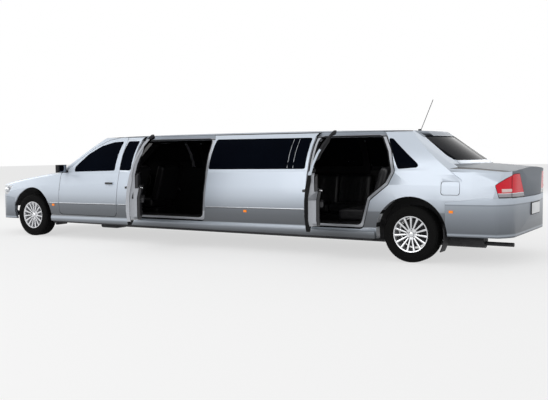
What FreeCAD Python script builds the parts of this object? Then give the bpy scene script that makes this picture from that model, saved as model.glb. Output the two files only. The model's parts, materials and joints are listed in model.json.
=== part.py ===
import FreeCAD, Part
import math
import os

# Stretch limousine, three doors a side, in millimetres.
# +X points forward, +Y to the car's left, +Z up. The origin is on the ground, in the centre
# plane, midway between the axles. The two left passenger doors stand open.

V = FreeCAD.Vector
X_AXIS = V(1, 0, 0)
Y_AXIS = V(0, 1, 0)
Z_AXIS = V(0, 0, 1)
LEFT = 1
RIGHT = -1
SIDES = (LEFT, RIGHT)

# Overall sizes
wheelbase = 6030.0
front_overhang = 965.0
rear_overhang = 1120.0
half_width = 926.0
roof_top_z = 1490.0
tyre_radius = 314.0
fit_clearance = 0.3
overrun = 400.0

front_axle_x = wheelbase / 2
rear_axle_x = -wheelbase / 2
nose_x = front_axle_x + front_overhang
tail_x = rear_axle_x - rear_overhang

# Sheet, wall and pane thicknesses
skin = 14.0
door_lip = 38.0
door_lip_cabin = 26.0
rebate = 44.0
rebate_cabin = 32.0
side_wall = 96.0
pillar_depth = 74.0
door_depth = 125.0
door_depth_cabin = 58.0
pane = 5.0
pane_setback = 7.0

# Gaps between panels, and the jamb that each door closes onto
panel_gap = 5.5
fixed_gap = 0.8
door_gap = 6.0
jamb_width = 50.0
plug_gap = 8.0

# Lower body section
sill_bottom_z = 245.0
widest_z = 590.0
sill_tuck = 46.0
shoulder_tuck = 50.0
shoulder_width = 30.0
shoulder_drop = 34.0
belt_z = 1002.0
cowl_z = 990.0
nose_deck_z = 712.0
boot_deck_z = 1106.0
tail_deck_z = 1046.0

# Chords along each curve, and spans between the lower body's stations from tail to nose:
# fine on outer faces and panes, fewer on the inner faces of walls
FINE = {"spans": (1, 2, 1, 1, 1, 1, 1, 2, 2, 3), "side": 5, "shoulder": 2, "deck": 6, "window": 4,
        "screen": 12, "roof": 7, "corner": 7}
PLAIN = {"spans": (1, 1, 1, 1, 1, 1, 1, 1, 1, 1), "side": 3, "shoulder": 1, "deck": 4, "window": 4,
         "screen": 6, "roof": 4, "corner": 4}
edge_chords = 10
round_chords = 3
straight_corner_half = math.radians(78.0)

# Cabin section
cabin_foot_y = 872.0
cabin_foot_z = 968.0
glass_mid_y = 779.0
glass_mid_z = 1222.0
cantrail_y = 640.0
cantrail_z = 1412.0
cantrail_bend_y = 608.0
cantrail_bend_z = 1446.0
roof_edge_y = 556.0
roof_edge_z = 1464.0
cabin_floor_z = 800.0
roof_front_drop = 36.0
roof_rear_drop = 34.0

# Windscreen and rear window, at the height where they meet the lower body
screen_foot_x = 2705.0
screen_bow = 290.0
screen_bow_y = 780.0
screen_run = 800.0
screen_rise = 455.0
backlight_foot_x = -3575.0
backlight_bow = 180.0
backlight_bow_y = 700.0
backlight_run = 520.0
backlight_rise = 350.0
backlight_foot_z = 1095.0

# Door and window lines
door_bottom_z = 352.0
door_top_z = 1452.0
front_door_front_x = 2425.0
front_door_rear_x = 1308.0
limo_door_front_x = 1035.0
limo_door_rear_x = -212.0
rear_door_front_x = -1715.0
rear_door_low_x = -2452.0
rear_door_belt_x = -2812.0
rear_door_top_x = -2602.0
rear_handle_edge_x = -2680.0
door_corner_radius = 55.0
door_draft = 0.40
shut_draft = 0.28
window_rail = 52.0
window_top_z = 1396.0
window_corner_radius = 26.0
limo_door_open_deg = 50.0
rear_door_open_deg = 62.0

# Door hinges: swan-neck arms that slide in slots of the pillar, about an axis just outside the skin
hinge_proud = 6.0
hinge_arm_in = 66.0
hinge_arm_out = 84.0
hinge_slot_play = 4.0
hinge_half_height = 18.0
hinge_heights = (480.0, 750.0)
hinge_arm_degs = (-150.0, -48.0)
hinge_slot_degs = (-162.0, -30.0)

# Bonnet and boot lid hinges
hinge_pin_radius = 5.0
lug_thickness = 12.0
lug_play = 2.0
bonnet_hinge_x = 2500.0
bonnet_hinge_y = 700.0
bonnet_hinge_z = 940.0
bonnet_lug_reach = 64.0
bonnet_corner_sweep = 52.0
boot_hinge_x = -3409.0
boot_hinge_y = 600.0
boot_hinge_z = 1085.0
boot_arm_reach = 125.0
boot_arm_drop = 50.0
boot_arm_height = 16.0

# Wheels
wheel_face_y = 897.0
tyre_width = 222.0
tyre_sides = 48
rim_sides = 30
drum_sides = 32
axle_sides = 20
rim_radius = 216.0
rim_width = 186.0
hub_radius = 34.0
spoke_count = 15
arch_radius = 408.0
brake_radius = 150.0
brake_thickness = 26.0
axle_radius = 22.0
spigot_radius = 16.0
spigot_length = 40.0
steer_axis_y = 730.0


def v2(x, z, y=0.0):
    return V(x, y, z)


def wire_of(points):
    """Closed wire through straight runs."""
    return Part.makePolygon(list(points) + [points[0]])


def rounded(points, radius):
    """Corner points of a flat outline, each corner replaced by chords of a tangent arc."""
    count = len(points)
    result = []
    for i, corner in enumerate(points):
        before = points[i - 1] - corner
        after = points[(i + 1) % count] - corner
        half = before.getAngle(after) / 2
        if half > straight_corner_half:
            result.append(corner)
            continue
        reach = min(radius / math.tan(half), 0.45 * before.Length, 0.45 * after.Length)
        size = reach * math.tan(half)
        before.normalize()
        after.normalize()
        middle_way = before + after
        middle_way.normalize()
        middle = corner + middle_way * (size / math.sin(half) - size)
        start, end = corner + before * reach, corner + after * reach
        result += curve(start, middle, end, round_chords) + [end]
    return result


def arc(a, b, c):
    return Part.Arc(a, b, c).toShape()


def corners_of(x_pair, z_pair):
    """Four corner points of an upright rectangle in the side view."""
    (x_from, x_to), (z_from, z_to) = x_pair, z_pair
    return (x_from, z_from), (x_to, z_from), (x_to, z_to), (x_from, z_to)


def curve(a, b, c, count):
    """Points along the arc from a through b, evenly spaced, with the last one left out."""
    bow = Part.Arc(a, b, c)
    span = bow.LastParameter - bow.FirstParameter
    points = [bow.value(bow.FirstParameter + span * i / count) for i in range(count)]
    if points[0].distanceToPoint(a) > points[0].distanceToPoint(c):
        points = [bow.value(bow.LastParameter - span * i / count) for i in range(count)]
    return points


def solid_of(wire, way):
    return Part.Face(wire).extrude(way)


def side_prism(points, y_from, y_to, radius=0.0):
    """Outline in the side view, as (x, z) pairs, extruded across the car."""
    corners = [V(x, y_from, z) for x, z in points]
    wire = wire_of(rounded(corners, radius) if radius else corners)
    return solid_of(wire, V(0, y_to - y_from, 0))


def plan_prism(points, z_from, z_to, radius=0.0):
    """Outline in the plan view, as (x, y) pairs, extruded upwards."""
    corners = [V(x, y, z_from) for x, y in points]
    wire = wire_of(rounded(corners, radius) if radius else corners)
    return solid_of(wire, V(0, 0, z_to - z_from))


def end_prism(points, x_from, x_to, radius=0.0):
    """Outline in the end view, as (y, z) pairs, extruded along the car."""
    corners = [V(x_from, y, z) for y, z in points]
    wire = wire_of(rounded(corners, radius) if radius else corners)
    return solid_of(wire, V(x_to - x_from, 0, 0))


def box(x_pair, y_pair, z_pair):
    low = V(min(x_pair), min(y_pair), min(z_pair))
    high = V(max(x_pair), max(y_pair), max(z_pair))
    span = high - low
    return Part.makeBox(span.x, span.y, span.z, low)


def mirrored(shape):
    return shape.mirror(V(0, 0, 0), Y_AXIS)


def sided(shape, side):
    """A shape modelled for the left side, or its mirror image for the right."""
    return shape if side == LEFT else mirrored(shape)


def fused(shapes):
    first, rest = shapes[0], shapes[1:]
    return first.fuse(rest).removeSplitter() if rest else first


def cylinder(radius, start, end):
    way = end - start
    return Part.makeCylinder(radius, way.Length, start, way)


def rod(radius, start, end, sides):
    """Bar with flat sides from start to end."""
    way = end - start
    across = way.cross(Y_AXIS) if abs(way.y) < way.Length / 2 else way.cross(X_AXIS)
    across.normalize()
    turn = FreeCAD.Rotation(way, 360.0 / sides)
    corners = []
    for _ in range(sides):
        corners.append(start + across * radius)
        across = turn.multVec(across)
    return solid_of(wire_of(corners), way)


def turned(points, centre, sides):
    """Lathe shape about the Y axis through the centre, from (radius, y) pairs, with flat facets."""
    rings = []
    for i in range(sides):
        angle = 2 * math.pi * i / sides
        way = V(math.sin(angle), 0, math.cos(angle))
        rings.append([V(centre.x, y, centre.z) + way * radius for radius, y in points])
    faces = []
    for i, ring in enumerate(rings):
        ahead = rings[(i + 1) % sides]
        for k in range(len(points)):
            corners = [ring[k - 1], ring[k], ahead[k], ahead[k - 1]]
            if points[k - 1][0] <= 0:
                corners = [ring[k - 1], ring[k], ahead[k]]
            if points[k][0] <= 0:
                corners = [ring[k - 1], ring[k], ahead[k - 1]]
            if points[k - 1][0] > 0 or points[k][0] > 0:
                faces.append(Part.Face(wire_of(corners)))
    solid = Part.Solid(Part.makeShell(faces))
    if solid.Volume < 0:
        solid.reverse()
    return solid


def flipped(p):
    return V(p.x, -p.y, p.z)


def facet_loft(rings):
    """Solid through rings of as many points each, of flat facets that mirror each other left and right."""
    faces = [Part.Face(wire_of(rings[0])), Part.Face(wire_of(rings[-1]))]
    for near, far in zip(rings, rings[1:]):
        for k in range(len(near)):
            a, b, c, d = near[k - 1], near[k], far[k], far[k - 1]
            split = ([a, b, c], [a, c, d]) if a.y + b.y > 0 else ([a, b, d], [b, c, d])
            faces += [Part.Face(wire_of(corners)) for corners in split]
    solid = Part.Solid(Part.makeShell(faces))
    if solid.Volume < 0:
        solid.reverse()
    return solid


# Body volumes, each with an inset that gives the inner face of a wall

def lower_section(x, width, shoulder_z, crown_z, inset, chords):
    """Points round the lower body's cross-section, with barrel sides and a crowned deck.

    With an inset it runs on below the sills, so that the walls cut with it are open underneath."""
    bottom = sill_bottom_z
    foot_y = width - sill_tuck - inset
    bulge_y = width - inset
    side_y = width - shoulder_tuck - inset
    side_z = shoulder_z - shoulder_drop - inset / 2
    deck_y = side_y - shoulder_width
    deck_z = shoulder_z - inset
    crown = crown_z - inset
    soft_y = (side_y + deck_y) / 2 + shoulder_width / 5
    soft_z = (side_z + deck_z) / 2 + shoulder_drop / 5
    half = curve(V(x, foot_y, bottom), V(x, bulge_y, widest_z), V(x, side_y, side_z), chords["side"])
    half += curve(V(x, side_y, side_z), V(x, soft_y, soft_z), V(x, deck_y, deck_z),
                  chords["shoulder"])
    if inset:
        half.insert(0, V(x, foot_y, bottom - overrun))
    deck = curve(V(x, deck_y, deck_z), V(x, 0, crown), V(x, -deck_y, deck_z), chords["deck"])
    return half + deck + [flipped(deck[0])] + [flipped(p) for p in reversed(half)]


def lower_stations():
    """x, half width, shoulder height and crown height, from the tail to the nose."""
    return (
        (tail_x, half_width * 0.93, tail_deck_z * 0.945, tail_deck_z * 0.99),
        (rear_axle_x - rear_overhang * 0.6, half_width * 0.965, tail_deck_z * 0.98, tail_deck_z * 1.028),
        (rear_axle_x, half_width * 0.995, belt_z * 1.035, boot_deck_z),
        (rear_axle_x * 0.8, half_width, belt_z * 1.02, belt_z * 1.06),
        (rear_axle_x * 0.4, half_width, belt_z * 1.005, belt_z * 1.04),
        (front_axle_x * 0.2, half_width, belt_z * 0.99, belt_z * 1.02),
        (front_axle_x * 0.65, half_width, belt_z * 0.96, belt_z * 1.0),
        (front_axle_x * 0.88, half_width * 0.997, cowl_z * 0.94, cowl_z),
        (front_axle_x, half_width * 0.99, cowl_z * 0.895, cowl_z * 0.957),
        (front_axle_x + front_overhang * 0.6, half_width * 0.965, cowl_z * 0.80, cowl_z * 0.84),
        (nose_x, half_width * 0.93, nose_deck_z * 0.95, nose_deck_z),
    )


def plan_limit(inset, chords):
    """Everything inside the plan view's outline, with rounded corners at nose and tail."""
    half = half_width + overrun
    nose = nose_x - inset
    tail = tail_x + inset
    brow_y = half_width * 0.58
    nose_corner_x = nose_x - front_overhang * 0.52
    tail_corner_x = tail_x + rear_overhang * 0.36
    corner_y = half_width * 1.0 - inset
    nose_bend = V(nose - front_overhang * 0.235, half_width * 0.86 - inset / 2, 0)
    tail_bend = V(tail + rear_overhang * 0.13, half_width * 0.87 - inset / 2, 0)
    nose_side = V(nose - front_overhang * 0.085, brow_y, 0)
    tail_side = V(tail + rear_overhang * 0.045, brow_y, 0)
    nose_corner = V(nose_corner_x, corner_y, 0)
    tail_corner = V(tail_corner_x, corner_y, 0)

    corners = curve(nose_side, nose_bend, nose_corner, chords["corner"])
    corners += [nose_corner]
    corners += [V(nose_corner_x - overrun / 2, half, 0), V(tail_corner_x + overrun / 2, half, 0)]
    corners += curve(tail_corner, tail_bend, tail_side, chords["corner"])
    tail_bow = curve(tail_side, V(tail, 0, 0), flipped(tail_side), chords["deck"])
    nose_bow = curve(flipped(nose_side), V(nose, 0, 0), nose_side, chords["deck"])
    right = [flipped(p) for p in reversed(corners[1:])]
    outline = corners + tail_bow + [flipped(tail_side)] + right + nose_bow
    return solid_of(wire_of(outline), V(0, 0, roof_top_z + overrun))


def profile_limit(inset, chords):
    """Everything inside the side view's nose and tail curves."""
    nose = nose_x - inset
    tail = tail_x + inset
    high = roof_top_z + overrun
    across = half_width + overrun
    nose_low = v2(nose - front_overhang * 0.07, sill_bottom_z * 0.8)
    nose_mid = v2(nose, widest_z * 0.88)
    nose_top = v2(nose - front_overhang * 0.16, nose_deck_z * 1.035 - inset)
    brow_top = v2(nose - front_overhang * 0.75, high)
    tail_low = v2(tail + rear_overhang * 0.10, sill_bottom_z * 0.8)
    tail_mid = v2(tail, widest_z * 0.95)
    tail_top = v2(tail + rear_overhang * 0.045, tail_deck_z * 1.01)
    outline = curve(nose_low, nose_mid, nose_top, chords["corner"])
    outline += [nose_top, brow_top, v2(tail + overrun, high)]
    outline += curve(tail_top, tail_mid, tail_low, chords["corner"]) + [tail_low]
    wire = wire_of(outline)
    wire.translate(V(0, -across, 0))
    return solid_of(wire, V(0, 2 * across, 0))


def smooth_stations(keys, steps):
    """More stations between the key ones, on smooth curves through them."""
    def slope(i, k):
        low, high = max(i - 1, 0), min(i + 1, len(keys) - 1)
        return (keys[high][k] - keys[low][k]) / (keys[high][0] - keys[low][0])

    rows = []
    for i, count in enumerate(steps):
        span = keys[i + 1][0] - keys[i][0]
        for step in range(count):
            t = step / count
            row = [keys[i][0] + span * t]
            for k in range(1, len(keys[i])):
                start, end = keys[i][k], keys[i + 1][k]
                row.append(start * (1 + 2 * t) * (1 - t) ** 2 + end * t * t * (3 - 2 * t)
                           + span * (slope(i, k) * t * (1 - t) ** 2 - slope(i + 1, k) * t * t * (1 - t)))
            rows.append(row)
    rows.append(list(keys[-1]))
    return rows


def lower_volume(inset, chords):
    rows = smooth_stations(lower_stations(), chords["spans"])
    loft = facet_loft([lower_section(x, w, s, c, inset, chords) for x, w, s, c in rows])
    return loft.common(plan_limit(inset, chords)).common(profile_limit(inset, chords))


def cabin_section(inset, chords):
    """Cross-section of the cabin above the belt line."""
    foot = V(0, cabin_foot_y - inset, cabin_foot_z)
    mid = V(0, glass_mid_y - inset, glass_mid_z)
    rail = V(0, cantrail_y - inset, cantrail_z - inset / 4)
    bend = V(0, cantrail_bend_y - inset * 0.8, cantrail_bend_z - inset * 0.7)
    edge = V(0, roof_edge_y - inset * 0.5, roof_edge_z - inset)
    top = V(0, 0, roof_top_z - inset)
    low = V(0, cabin_foot_y - inset, cabin_floor_z)
    half = [low] + curve(foot, mid, rail, chords["window"]) + curve(rail, bend, edge, chords["shoulder"])
    crown = curve(edge, top, flipped(edge), chords["deck"])
    return wire_of(half + crown + [flipped(edge)] + [flipped(p) for p in reversed(half)])


def raked_limit(foot_x, foot_z, bow, bow_y, run, rise, inset, back_x, chords):
    """Everything behind a raked, bowed screen; the bow is followed out to the widest point."""
    slope = math.atan2(rise, abs(run))
    shift = inset / math.sin(slope)
    ahead = 1 if run < 0 else -1
    wide = half_width * 1.1
    end_bow = bow * (wide / bow_y) ** 2
    centre = foot_x - ahead * shift
    way = V(run, 0, rise)
    down = (cabin_floor_z - foot_z) / rise
    up = (roof_top_z + overrun / 2 - cabin_floor_z) / rise
    base = V(down * run, 0, cabin_floor_z)
    left = V(centre - ahead * end_bow, wide, 0) + base
    right = V(centre - ahead * end_bow, -wide, 0) + base
    front = V(centre, 0, 0) + base
    bow_points = curve(right, front, left, chords["screen"])
    back = [left, V(back_x + base.x, wide, base.z), V(back_x + base.x, -wide, base.z)]
    return solid_of(wire_of(bow_points + back), way * up)


def roof_limit(inset, chords):
    """Everything below the roof's gently arched side profile."""
    across = half_width + overrun
    top = roof_top_z - inset
    front = v2(screen_foot_x, top - roof_front_drop * 2.2, -across)
    rear = v2(backlight_foot_x, top - roof_rear_drop * 1.6, -across)
    crest = v2(rear_axle_x * 0.22, top, -across)
    arch = curve(front, crest, rear, chords["roof"])
    base = [rear, v2(backlight_foot_x, cabin_floor_z, -across), v2(screen_foot_x, cabin_floor_z, -across)]
    return solid_of(wire_of(arch + base), V(0, 2 * across, 0))


def cabin_volume(inset, chords):
    section = cabin_section(inset, chords)
    section.translate(V(backlight_foot_x, 0, 0))
    tube = solid_of(section, V(screen_foot_x - backlight_foot_x, 0, 0))
    screen = raked_limit(screen_foot_x, cowl_z, screen_bow, screen_bow_y, -screen_run, screen_rise,
                         inset, backlight_foot_x - wheelbase, chords)
    backlight = raked_limit(backlight_foot_x, backlight_foot_z, backlight_bow, backlight_bow_y,
                            backlight_run, backlight_rise, inset, screen_foot_x + wheelbase, chords)
    return tube.common(screen).common(backlight).common(roof_limit(inset, chords))


def body_volume(lower_inset, cabin_inset, chords=PLAIN):
    return lower_volume(lower_inset, chords).fuse(cabin_volume(cabin_inset, chords))


# Door outlines

def surface_y(z):
    """Half width of the car's side at a height, for placing slanted shut faces."""
    if z <= cabin_foot_z:
        return half_width
    share = (z - cabin_foot_z) / (cantrail_z - cabin_foot_z)
    return cabin_foot_y - (cabin_foot_y - cantrail_y) * min(share, 1.2)


def outline_inset(points, inset):
    """Outline of (x, z, ...) points moved inwards edge by edge; what follows x and z is kept."""
    count = len(points)
    area = sum(points[i - 1][0] * points[i][1] - points[i][0] * points[i - 1][1] for i in range(count))
    turn = math.copysign(1.0, area)
    normals = []
    for i in range(count):
        run, rise = points[i][0] - points[i - 1][0], points[i][1] - points[i - 1][1]
        length = math.hypot(run, rise)
        normals.append((-turn * rise / length, turn * run / length))
    moved = []
    for i, (x, z, *rest) in enumerate(points):
        a, b = normals[i], normals[(i + 1) % count]
        share = inset / (1 + a[0] * b[0] + a[1] * b[1])
        moved.append((x + (a[0] + b[0]) * share, z + (a[1] + b[1]) * share, *rest))
    return moved


def drafted_prism(points, inset=0.0):
    """Door prism for the left side. Points are (x, z, draft); a drafted edge leans forward inboard."""
    y_out = half_width + overrun / 4
    y_in = cantrail_y * 0.55
    outline = outline_inset(points, inset)
    rings = []
    for y in (y_out, y_in):
        corners = [V(x + draft * (surface_y(z) - y), y, z) for x, z, draft in outline]
        rings.append(rounded(corners, door_corner_radius))
    return facet_loft(rings)


def front_door_points():
    rear = front_door_rear_x
    pillar = screen_foot_x - screen_run
    return (
        (front_door_front_x, door_bottom_z, 0.0),
        (front_door_front_x - door_gap * 2, belt_z * 0.94, 0.0),
        (front_door_front_x - window_rail * 2.6, belt_z * 0.983, 0.0),
        (pillar + screen_run * 0.375, cabin_foot_z * 1.074, 0.0),
        (pillar + screen_run * 0.072, glass_mid_z * 1.005, 0.0),
        (pillar - screen_run * 0.13, glass_mid_z * 1.095, 0.0),
        (pillar - screen_run * 0.33, door_top_z * 0.975, 0.0),
        (pillar - screen_run * 0.58, door_top_z, 0.0),
        (rear, door_top_z, shut_draft),
        (rear, door_bottom_z, shut_draft),
    )


def limo_door_points():
    return (
        (limo_door_front_x, door_bottom_z, 0.0),
        (limo_door_front_x, door_top_z, 0.0),
        (limo_door_rear_x, door_top_z, shut_draft),
        (limo_door_rear_x, door_bottom_z, shut_draft),
    )


def rear_door_points():
    low, belt = rear_door_low_x, rear_door_belt_x
    return (
        (rear_door_front_x, door_bottom_z, 0.0),
        (rear_door_front_x, door_top_z, 0.0),
        (rear_door_top_x, door_top_z, door_draft),
        (belt, belt_z, shut_draft),
        (belt + (low - belt) * 0.16, belt_z * 0.85, shut_draft),
        (belt + (low - belt) * 0.75, belt_z * 0.68, shut_draft),
        (low, door_bottom_z, shut_draft),
    )


def front_window_points():
    rail = window_rail
    return (
        (front_door_rear_x + rail, belt_z * 0.985),
        (front_door_rear_x + rail, window_top_z),
        (screen_foot_x - screen_run * 1.45, window_top_z * 0.993),
        (screen_foot_x - screen_run * 1.21, window_top_z * 0.957),
        (screen_foot_x - screen_run * 0.98, window_top_z * 0.88),
        (screen_foot_x - screen_run * 0.71, belt_z * 1.035),
        (screen_foot_x - screen_run * 0.70, belt_z * 0.965),
    )


def limo_window_points():
    rail = window_rail
    return (
        (limo_door_front_x - rail, belt_z * 1.0),
        (limo_door_front_x - rail, window_top_z),
        (limo_door_rear_x + rail, window_top_z),
        (limo_door_rear_x + rail, belt_z * 1.01),
    )


def rear_window_points():
    rail = window_rail
    return (
        (rear_door_front_x - rail, belt_z * 1.018),
        (rear_door_front_x - rail, window_top_z),
        (rear_door_top_x + rail, window_top_z),
        (rear_door_belt_x + rail * 1.1, belt_z * 1.03),
    )


# Outline, window, hinge line and the rear edge that the handle is set from
DOORS = {
    "front_door": (front_door_points, front_window_points, front_door_front_x, front_door_rear_x),
    "limo_door": (limo_door_points, limo_window_points, limo_door_front_x, limo_door_rear_x),
    "rear_door": (rear_door_points, rear_window_points, rear_door_front_x, rear_handle_edge_x),
}
OPEN_DEG = {"left_limo_door": limo_door_open_deg, "left_rear_door": rear_door_open_deg}


def side_window_prism(points, grow=0.0):
    corners = [V(x, cantrail_y * 0.55, z) for x, z in outline_inset(points, -grow)]
    return solid_of(wire_of(rounded(corners, window_corner_radius)), V(0, half_width, 0))


def narrow_window_points():
    rear = limo_door_front_x + window_rail * 0.6
    front = front_door_rear_x - window_rail * 0.6
    return ((front, belt_z * 0.99), (front, window_top_z), (rear, window_top_z), (rear, belt_z * 0.99))


def long_window_points():
    front = limo_door_rear_x - window_rail * 0.8
    rear = rear_door_front_x + window_rail * 0.8
    return ((front, belt_z * 1.01), (front, window_top_z), (rear, window_top_z), (rear, belt_z * 1.02))


def quarter_window_points():
    belt = rear_door_belt_x - window_rail * 0.7
    return (
        (belt, belt_z * 1.025),
        (rear_door_top_x - window_rail * 1.2, window_top_z * 0.988),
        (rear_door_top_x - window_rail * 2.4, window_top_z * 0.978),
        (belt - window_rail * 5.3, belt_z * 1.045),
    )


FIXED_WINDOWS = (narrow_window_points, long_window_points, quarter_window_points)

# Regions of the outer panels

bonnet_ahead_of_screen = 40.0
boot_behind_backlight = 24.0
bonnet_rear_x = screen_foot_x + bonnet_ahead_of_screen
bonnet_half_front = 610.0
bonnet_half_rear = 745.0
bonnet_front_x = nose_x - front_overhang * 0.13
boot_front_x = backlight_foot_x - boot_behind_backlight
boot_half_width = 690.0
boot_lid_low_z = 728.0
lamp_foot_x = -3958.0
lamp_tip_x = -3925.0
lamp_tip_z = 861.0
lamp_shoulder_x = -4072.0
lamp_shoulder_z = 974.0
lamp_top_z = 988.0
lamp_inner_low_y = 380.0
lamp_inner_high_y = 520.0
bumper_top_z = 610.0
rear_bumper_low_z = 308.0
fender_rear_x = front_door_front_x
roof_half_width = 568.0
roof_split_z = 1380.0
flap_front_x = -3361.0
flap_rear_x = -3556.0
flap_low_z = 756.0
flap_high_z = 892.0
flap_corner_radius = 26.0
flap_pocket_y = 868.0
post_length = 95.0
grille_half = 384.0
grille_bars = 5
grille_border = 18.0
skirt_proud = 42.0
skirt_height = 98.0
arch_centre_z = tyre_radius + arch_radius * 0.02

# Door handles and mirrors
handle_z = 812.0
handle_length = 148.0
handle_height = 26.0
handle_proud = 30.0
handle_inset = 46.0
mirror_x = 2295.0
mirror_depth = 84.0
mirror_reach = 152.0
mirror_span = 172.0
mirror_low_z = 958.0
mirror_height = 112.0

# Floor
floor_bottom_z = 215.0
floor_top_z = 245.0
bulkhead_x = 2400.0
bulkhead_thickness = 30.0
boot_floor_z = 462.0
boot_wall_x = -2790.0
tunnel_half = 110.0
tunnel_z = 330.0
heel_ahead = 60.0
housing_gap = 2.0
housing_wall = 8.0
housing_inner_y = (520.0, 640.0)
housing_low_z = 440.0

# Wheels' inner sizes
tyre_bead = 12.0
tyre_bulge = 54.0
tyre_shoulder = 14.0
rim_wall = 9.0
hub_depth = 110.0

# Running gear
upright_radius = 26.0
upright_down = 90.0
upright_up = 150.0
steering_arm = 130.0
rail_y = 405.0
rail_width = 50.0
rail_height = 60.0
rail_end_gap = 78.0
beam_length = 120.0
beam_low_z = 180.0
beam_high_z = 252.0
casing_radius = 118.0
axle_tube = 38.0
trailing_y = 470.0
engine_length = 740.0
engine_width = 580.0
engine_height = 560.0
engine_ahead = 260.0
pipe_radius = 28.0
pipe_sides = 12
pipe_front_x = 1900.0
pipe_y = 455.0
silencer_front_x = -3290.0
silencer_length = 440.0
silencer_radius = 85.0
silencer_y = 500.0
silencer_z = 246.0

# Cabin fittings
seat_length = 500.0
seat_width = 520.0
seat_rake = 100.0
cushion_z = 550.0
seat_back_z = 1085.0
front_seat_x = 1490.0
front_seat_y = 370.0
rear_seat_x = -2470.0
rear_seat_half = 620.0
lounge_outer_y = 745.0
lounge_inner_y = 290.0
lounge_rear_x = -1880.0
lounge_front_x = 620.0
dash_depth = 350.0
dash_low_z = 620.0
dash_top_z = 896.0
shroud_radius = 36.0
steering_x = 1950.0
steering_z = 862.0
steering_radius = 180.0
grip_radius = 14.0
grip_sides = 6
boss_radius = 44.0
spoke_width = 34.0
column_deg = 25.0

# Small pieces
front_marker_z = 482.0
middle_marker_x = -855.0
middle_marker_z = 500.0
rear_marker_z = 575.0
marker_length = 44.0
marker_height = 28.0
marker_proud = 6.0
aerial_x = -2778.0
aerial_height = 390.0
aerial_radius = 4.0


def bonnet_region(grow=0.0):
    rear, front = bonnet_rear_x - grow, bonnet_front_x + grow
    rear_half, front_half = bonnet_half_rear + grow, bonnet_half_front + grow
    bow = screen_bow * 0.75
    nose = front - front_overhang * 0.05
    outline = curve(V(nose, front_half, 0), V(front, 0, 0), V(nose, -front_half, 0), edge_chords)
    outline += [V(nose, -front_half, 0)]
    outline += curve(V(rear - bow, -rear_half, 0), V(rear, 0, 0), V(rear - bow, rear_half, 0), edge_chords)
    wire = wire_of(outline + [V(rear - bow, rear_half, 0)])
    wire.translate(V(0, 0, widest_z * 0.95))
    return solid_of(wire, V(0, 0, overrun * 2))


def boot_region(grow=0.0):
    """The boot lid's outline; its front edge keeps twice the gap, because it swings forward as it lifts."""
    half = boot_half_width + grow
    front = boot_front_x + 2 * grow
    side_x = front + backlight_bow * 0.9
    back = tail_x - overrun
    outline = curve(V(side_x, -half, 0), V(front, 0, 0), V(side_x, half, 0), edge_chords)
    wire = wire_of(outline + [V(side_x, half, 0), V(back, half, 0), V(back, -half, 0)])
    wire.translate(V(0, 0, boot_lid_low_z - grow))
    return solid_of(wire, V(0, 0, overrun * 2))


def front_bumper_region(grow=0.0):
    x_back = front_axle_x + arch_radius * 0.96 - grow
    top = bumper_top_z + grow
    points = (
        (x_back, 0.0),
        (x_back, top * 0.93),
        (nose_x - front_overhang * 0.2, top),
        (nose_x + overrun, top),
        (nose_x + overrun, 0.0),
    )
    return side_prism(points, -half_width - overrun, half_width + overrun)


def rear_bumper_region(grow=0.0):
    x_front = rear_axle_x - arch_radius * 0.96 + grow
    top = boot_lid_low_z + (grow - panel_gap if grow > 0 else -panel_gap)
    points = (
        (x_front, 0.0),
        (x_front, top * 0.93),
        (tail_x + rear_overhang * 0.3, top),
        (tail_x - overrun, top),
        (tail_x - overrun, 0.0),
    )
    return side_prism(points, -half_width - overrun, half_width + overrun)


def headlamp_region(grow=0.0):
    """Left headlamp: a wedge that wraps the corner above the bumper."""
    points = (
        (nose_x + overrun, bumper_top_z + fixed_gap),
        (nose_x - front_overhang * 0.42, bumper_top_z + fixed_gap),
        (nose_x - front_overhang * 0.50, nose_deck_z * 1.045),
        (nose_x - front_overhang * 0.2, nose_deck_z * 1.06),
        (nose_x + overrun, nose_deck_z * 1.06),
    )
    return side_prism(outline_inset(points, -grow), grille_half + fixed_gap - grow, half_width + overrun)


def tail_lamp_region(grow=0.0):
    """Left tail lamp: it wraps the rear corner, and its inner edge leans outwards as it rises."""
    foot_z = boot_lid_low_z + fixed_gap
    side_points = (
        (tail_x - overrun, foot_z),
        (lamp_foot_x, foot_z),
        (lamp_tip_x, lamp_tip_z),
        (lamp_shoulder_x, lamp_shoulder_z),
        (tail_x - overrun, lamp_top_z),
    )
    rear_points = (
        (lamp_inner_low_y, foot_z),
        (half_width + overrun, foot_z),
        (half_width + overrun, lamp_top_z),
        (lamp_inner_high_y, lamp_top_z),
    )
    wrap = side_prism(outline_inset(side_points, -grow), 0, half_width + overrun * 2)
    return wrap.common(end_prism(outline_inset(rear_points, -grow), tail_x - overrun * 2, rear_axle_x))


def grille_region(grow=0.0):
    half = grille_half + grow
    return box((nose_x - front_overhang * 0.3, nose_x + overrun), (-half, half),
               (bumper_top_z + fixed_gap - grow, nose_deck_z * 0.985 + grow))


def wheel_centres():
    return {
        "front_left": V(front_axle_x, wheel_face_y, tyre_radius),
        "front_right": V(front_axle_x, -wheel_face_y, tyre_radius),
        "rear_left": V(rear_axle_x, wheel_face_y, tyre_radius),
        "rear_right": V(rear_axle_x, -wheel_face_y, tyre_radius),
    }


def arch_drum(x, radius, y_from, y_to, sides):
    """Many-sided drum across the car at a wheel arch."""
    return turned([(0, y_from), (radius, y_from), (radius, y_to), (0, y_to)], V(x, 0, arch_centre_z), sides)


def arch_cutters():
    """Wheel openings, as upright rounded slots that run down past the sills."""
    cutters = []
    across = half_width + overrun
    for x in (front_axle_x, rear_axle_x):
        cutters.append(arch_drum(x, arch_radius, -across, across, tyre_sides))
        cutters.append(box((x - arch_radius, x + arch_radius), (-across, across), (-overrun, arch_centre_z)))
    return fused(cutters)


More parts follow.
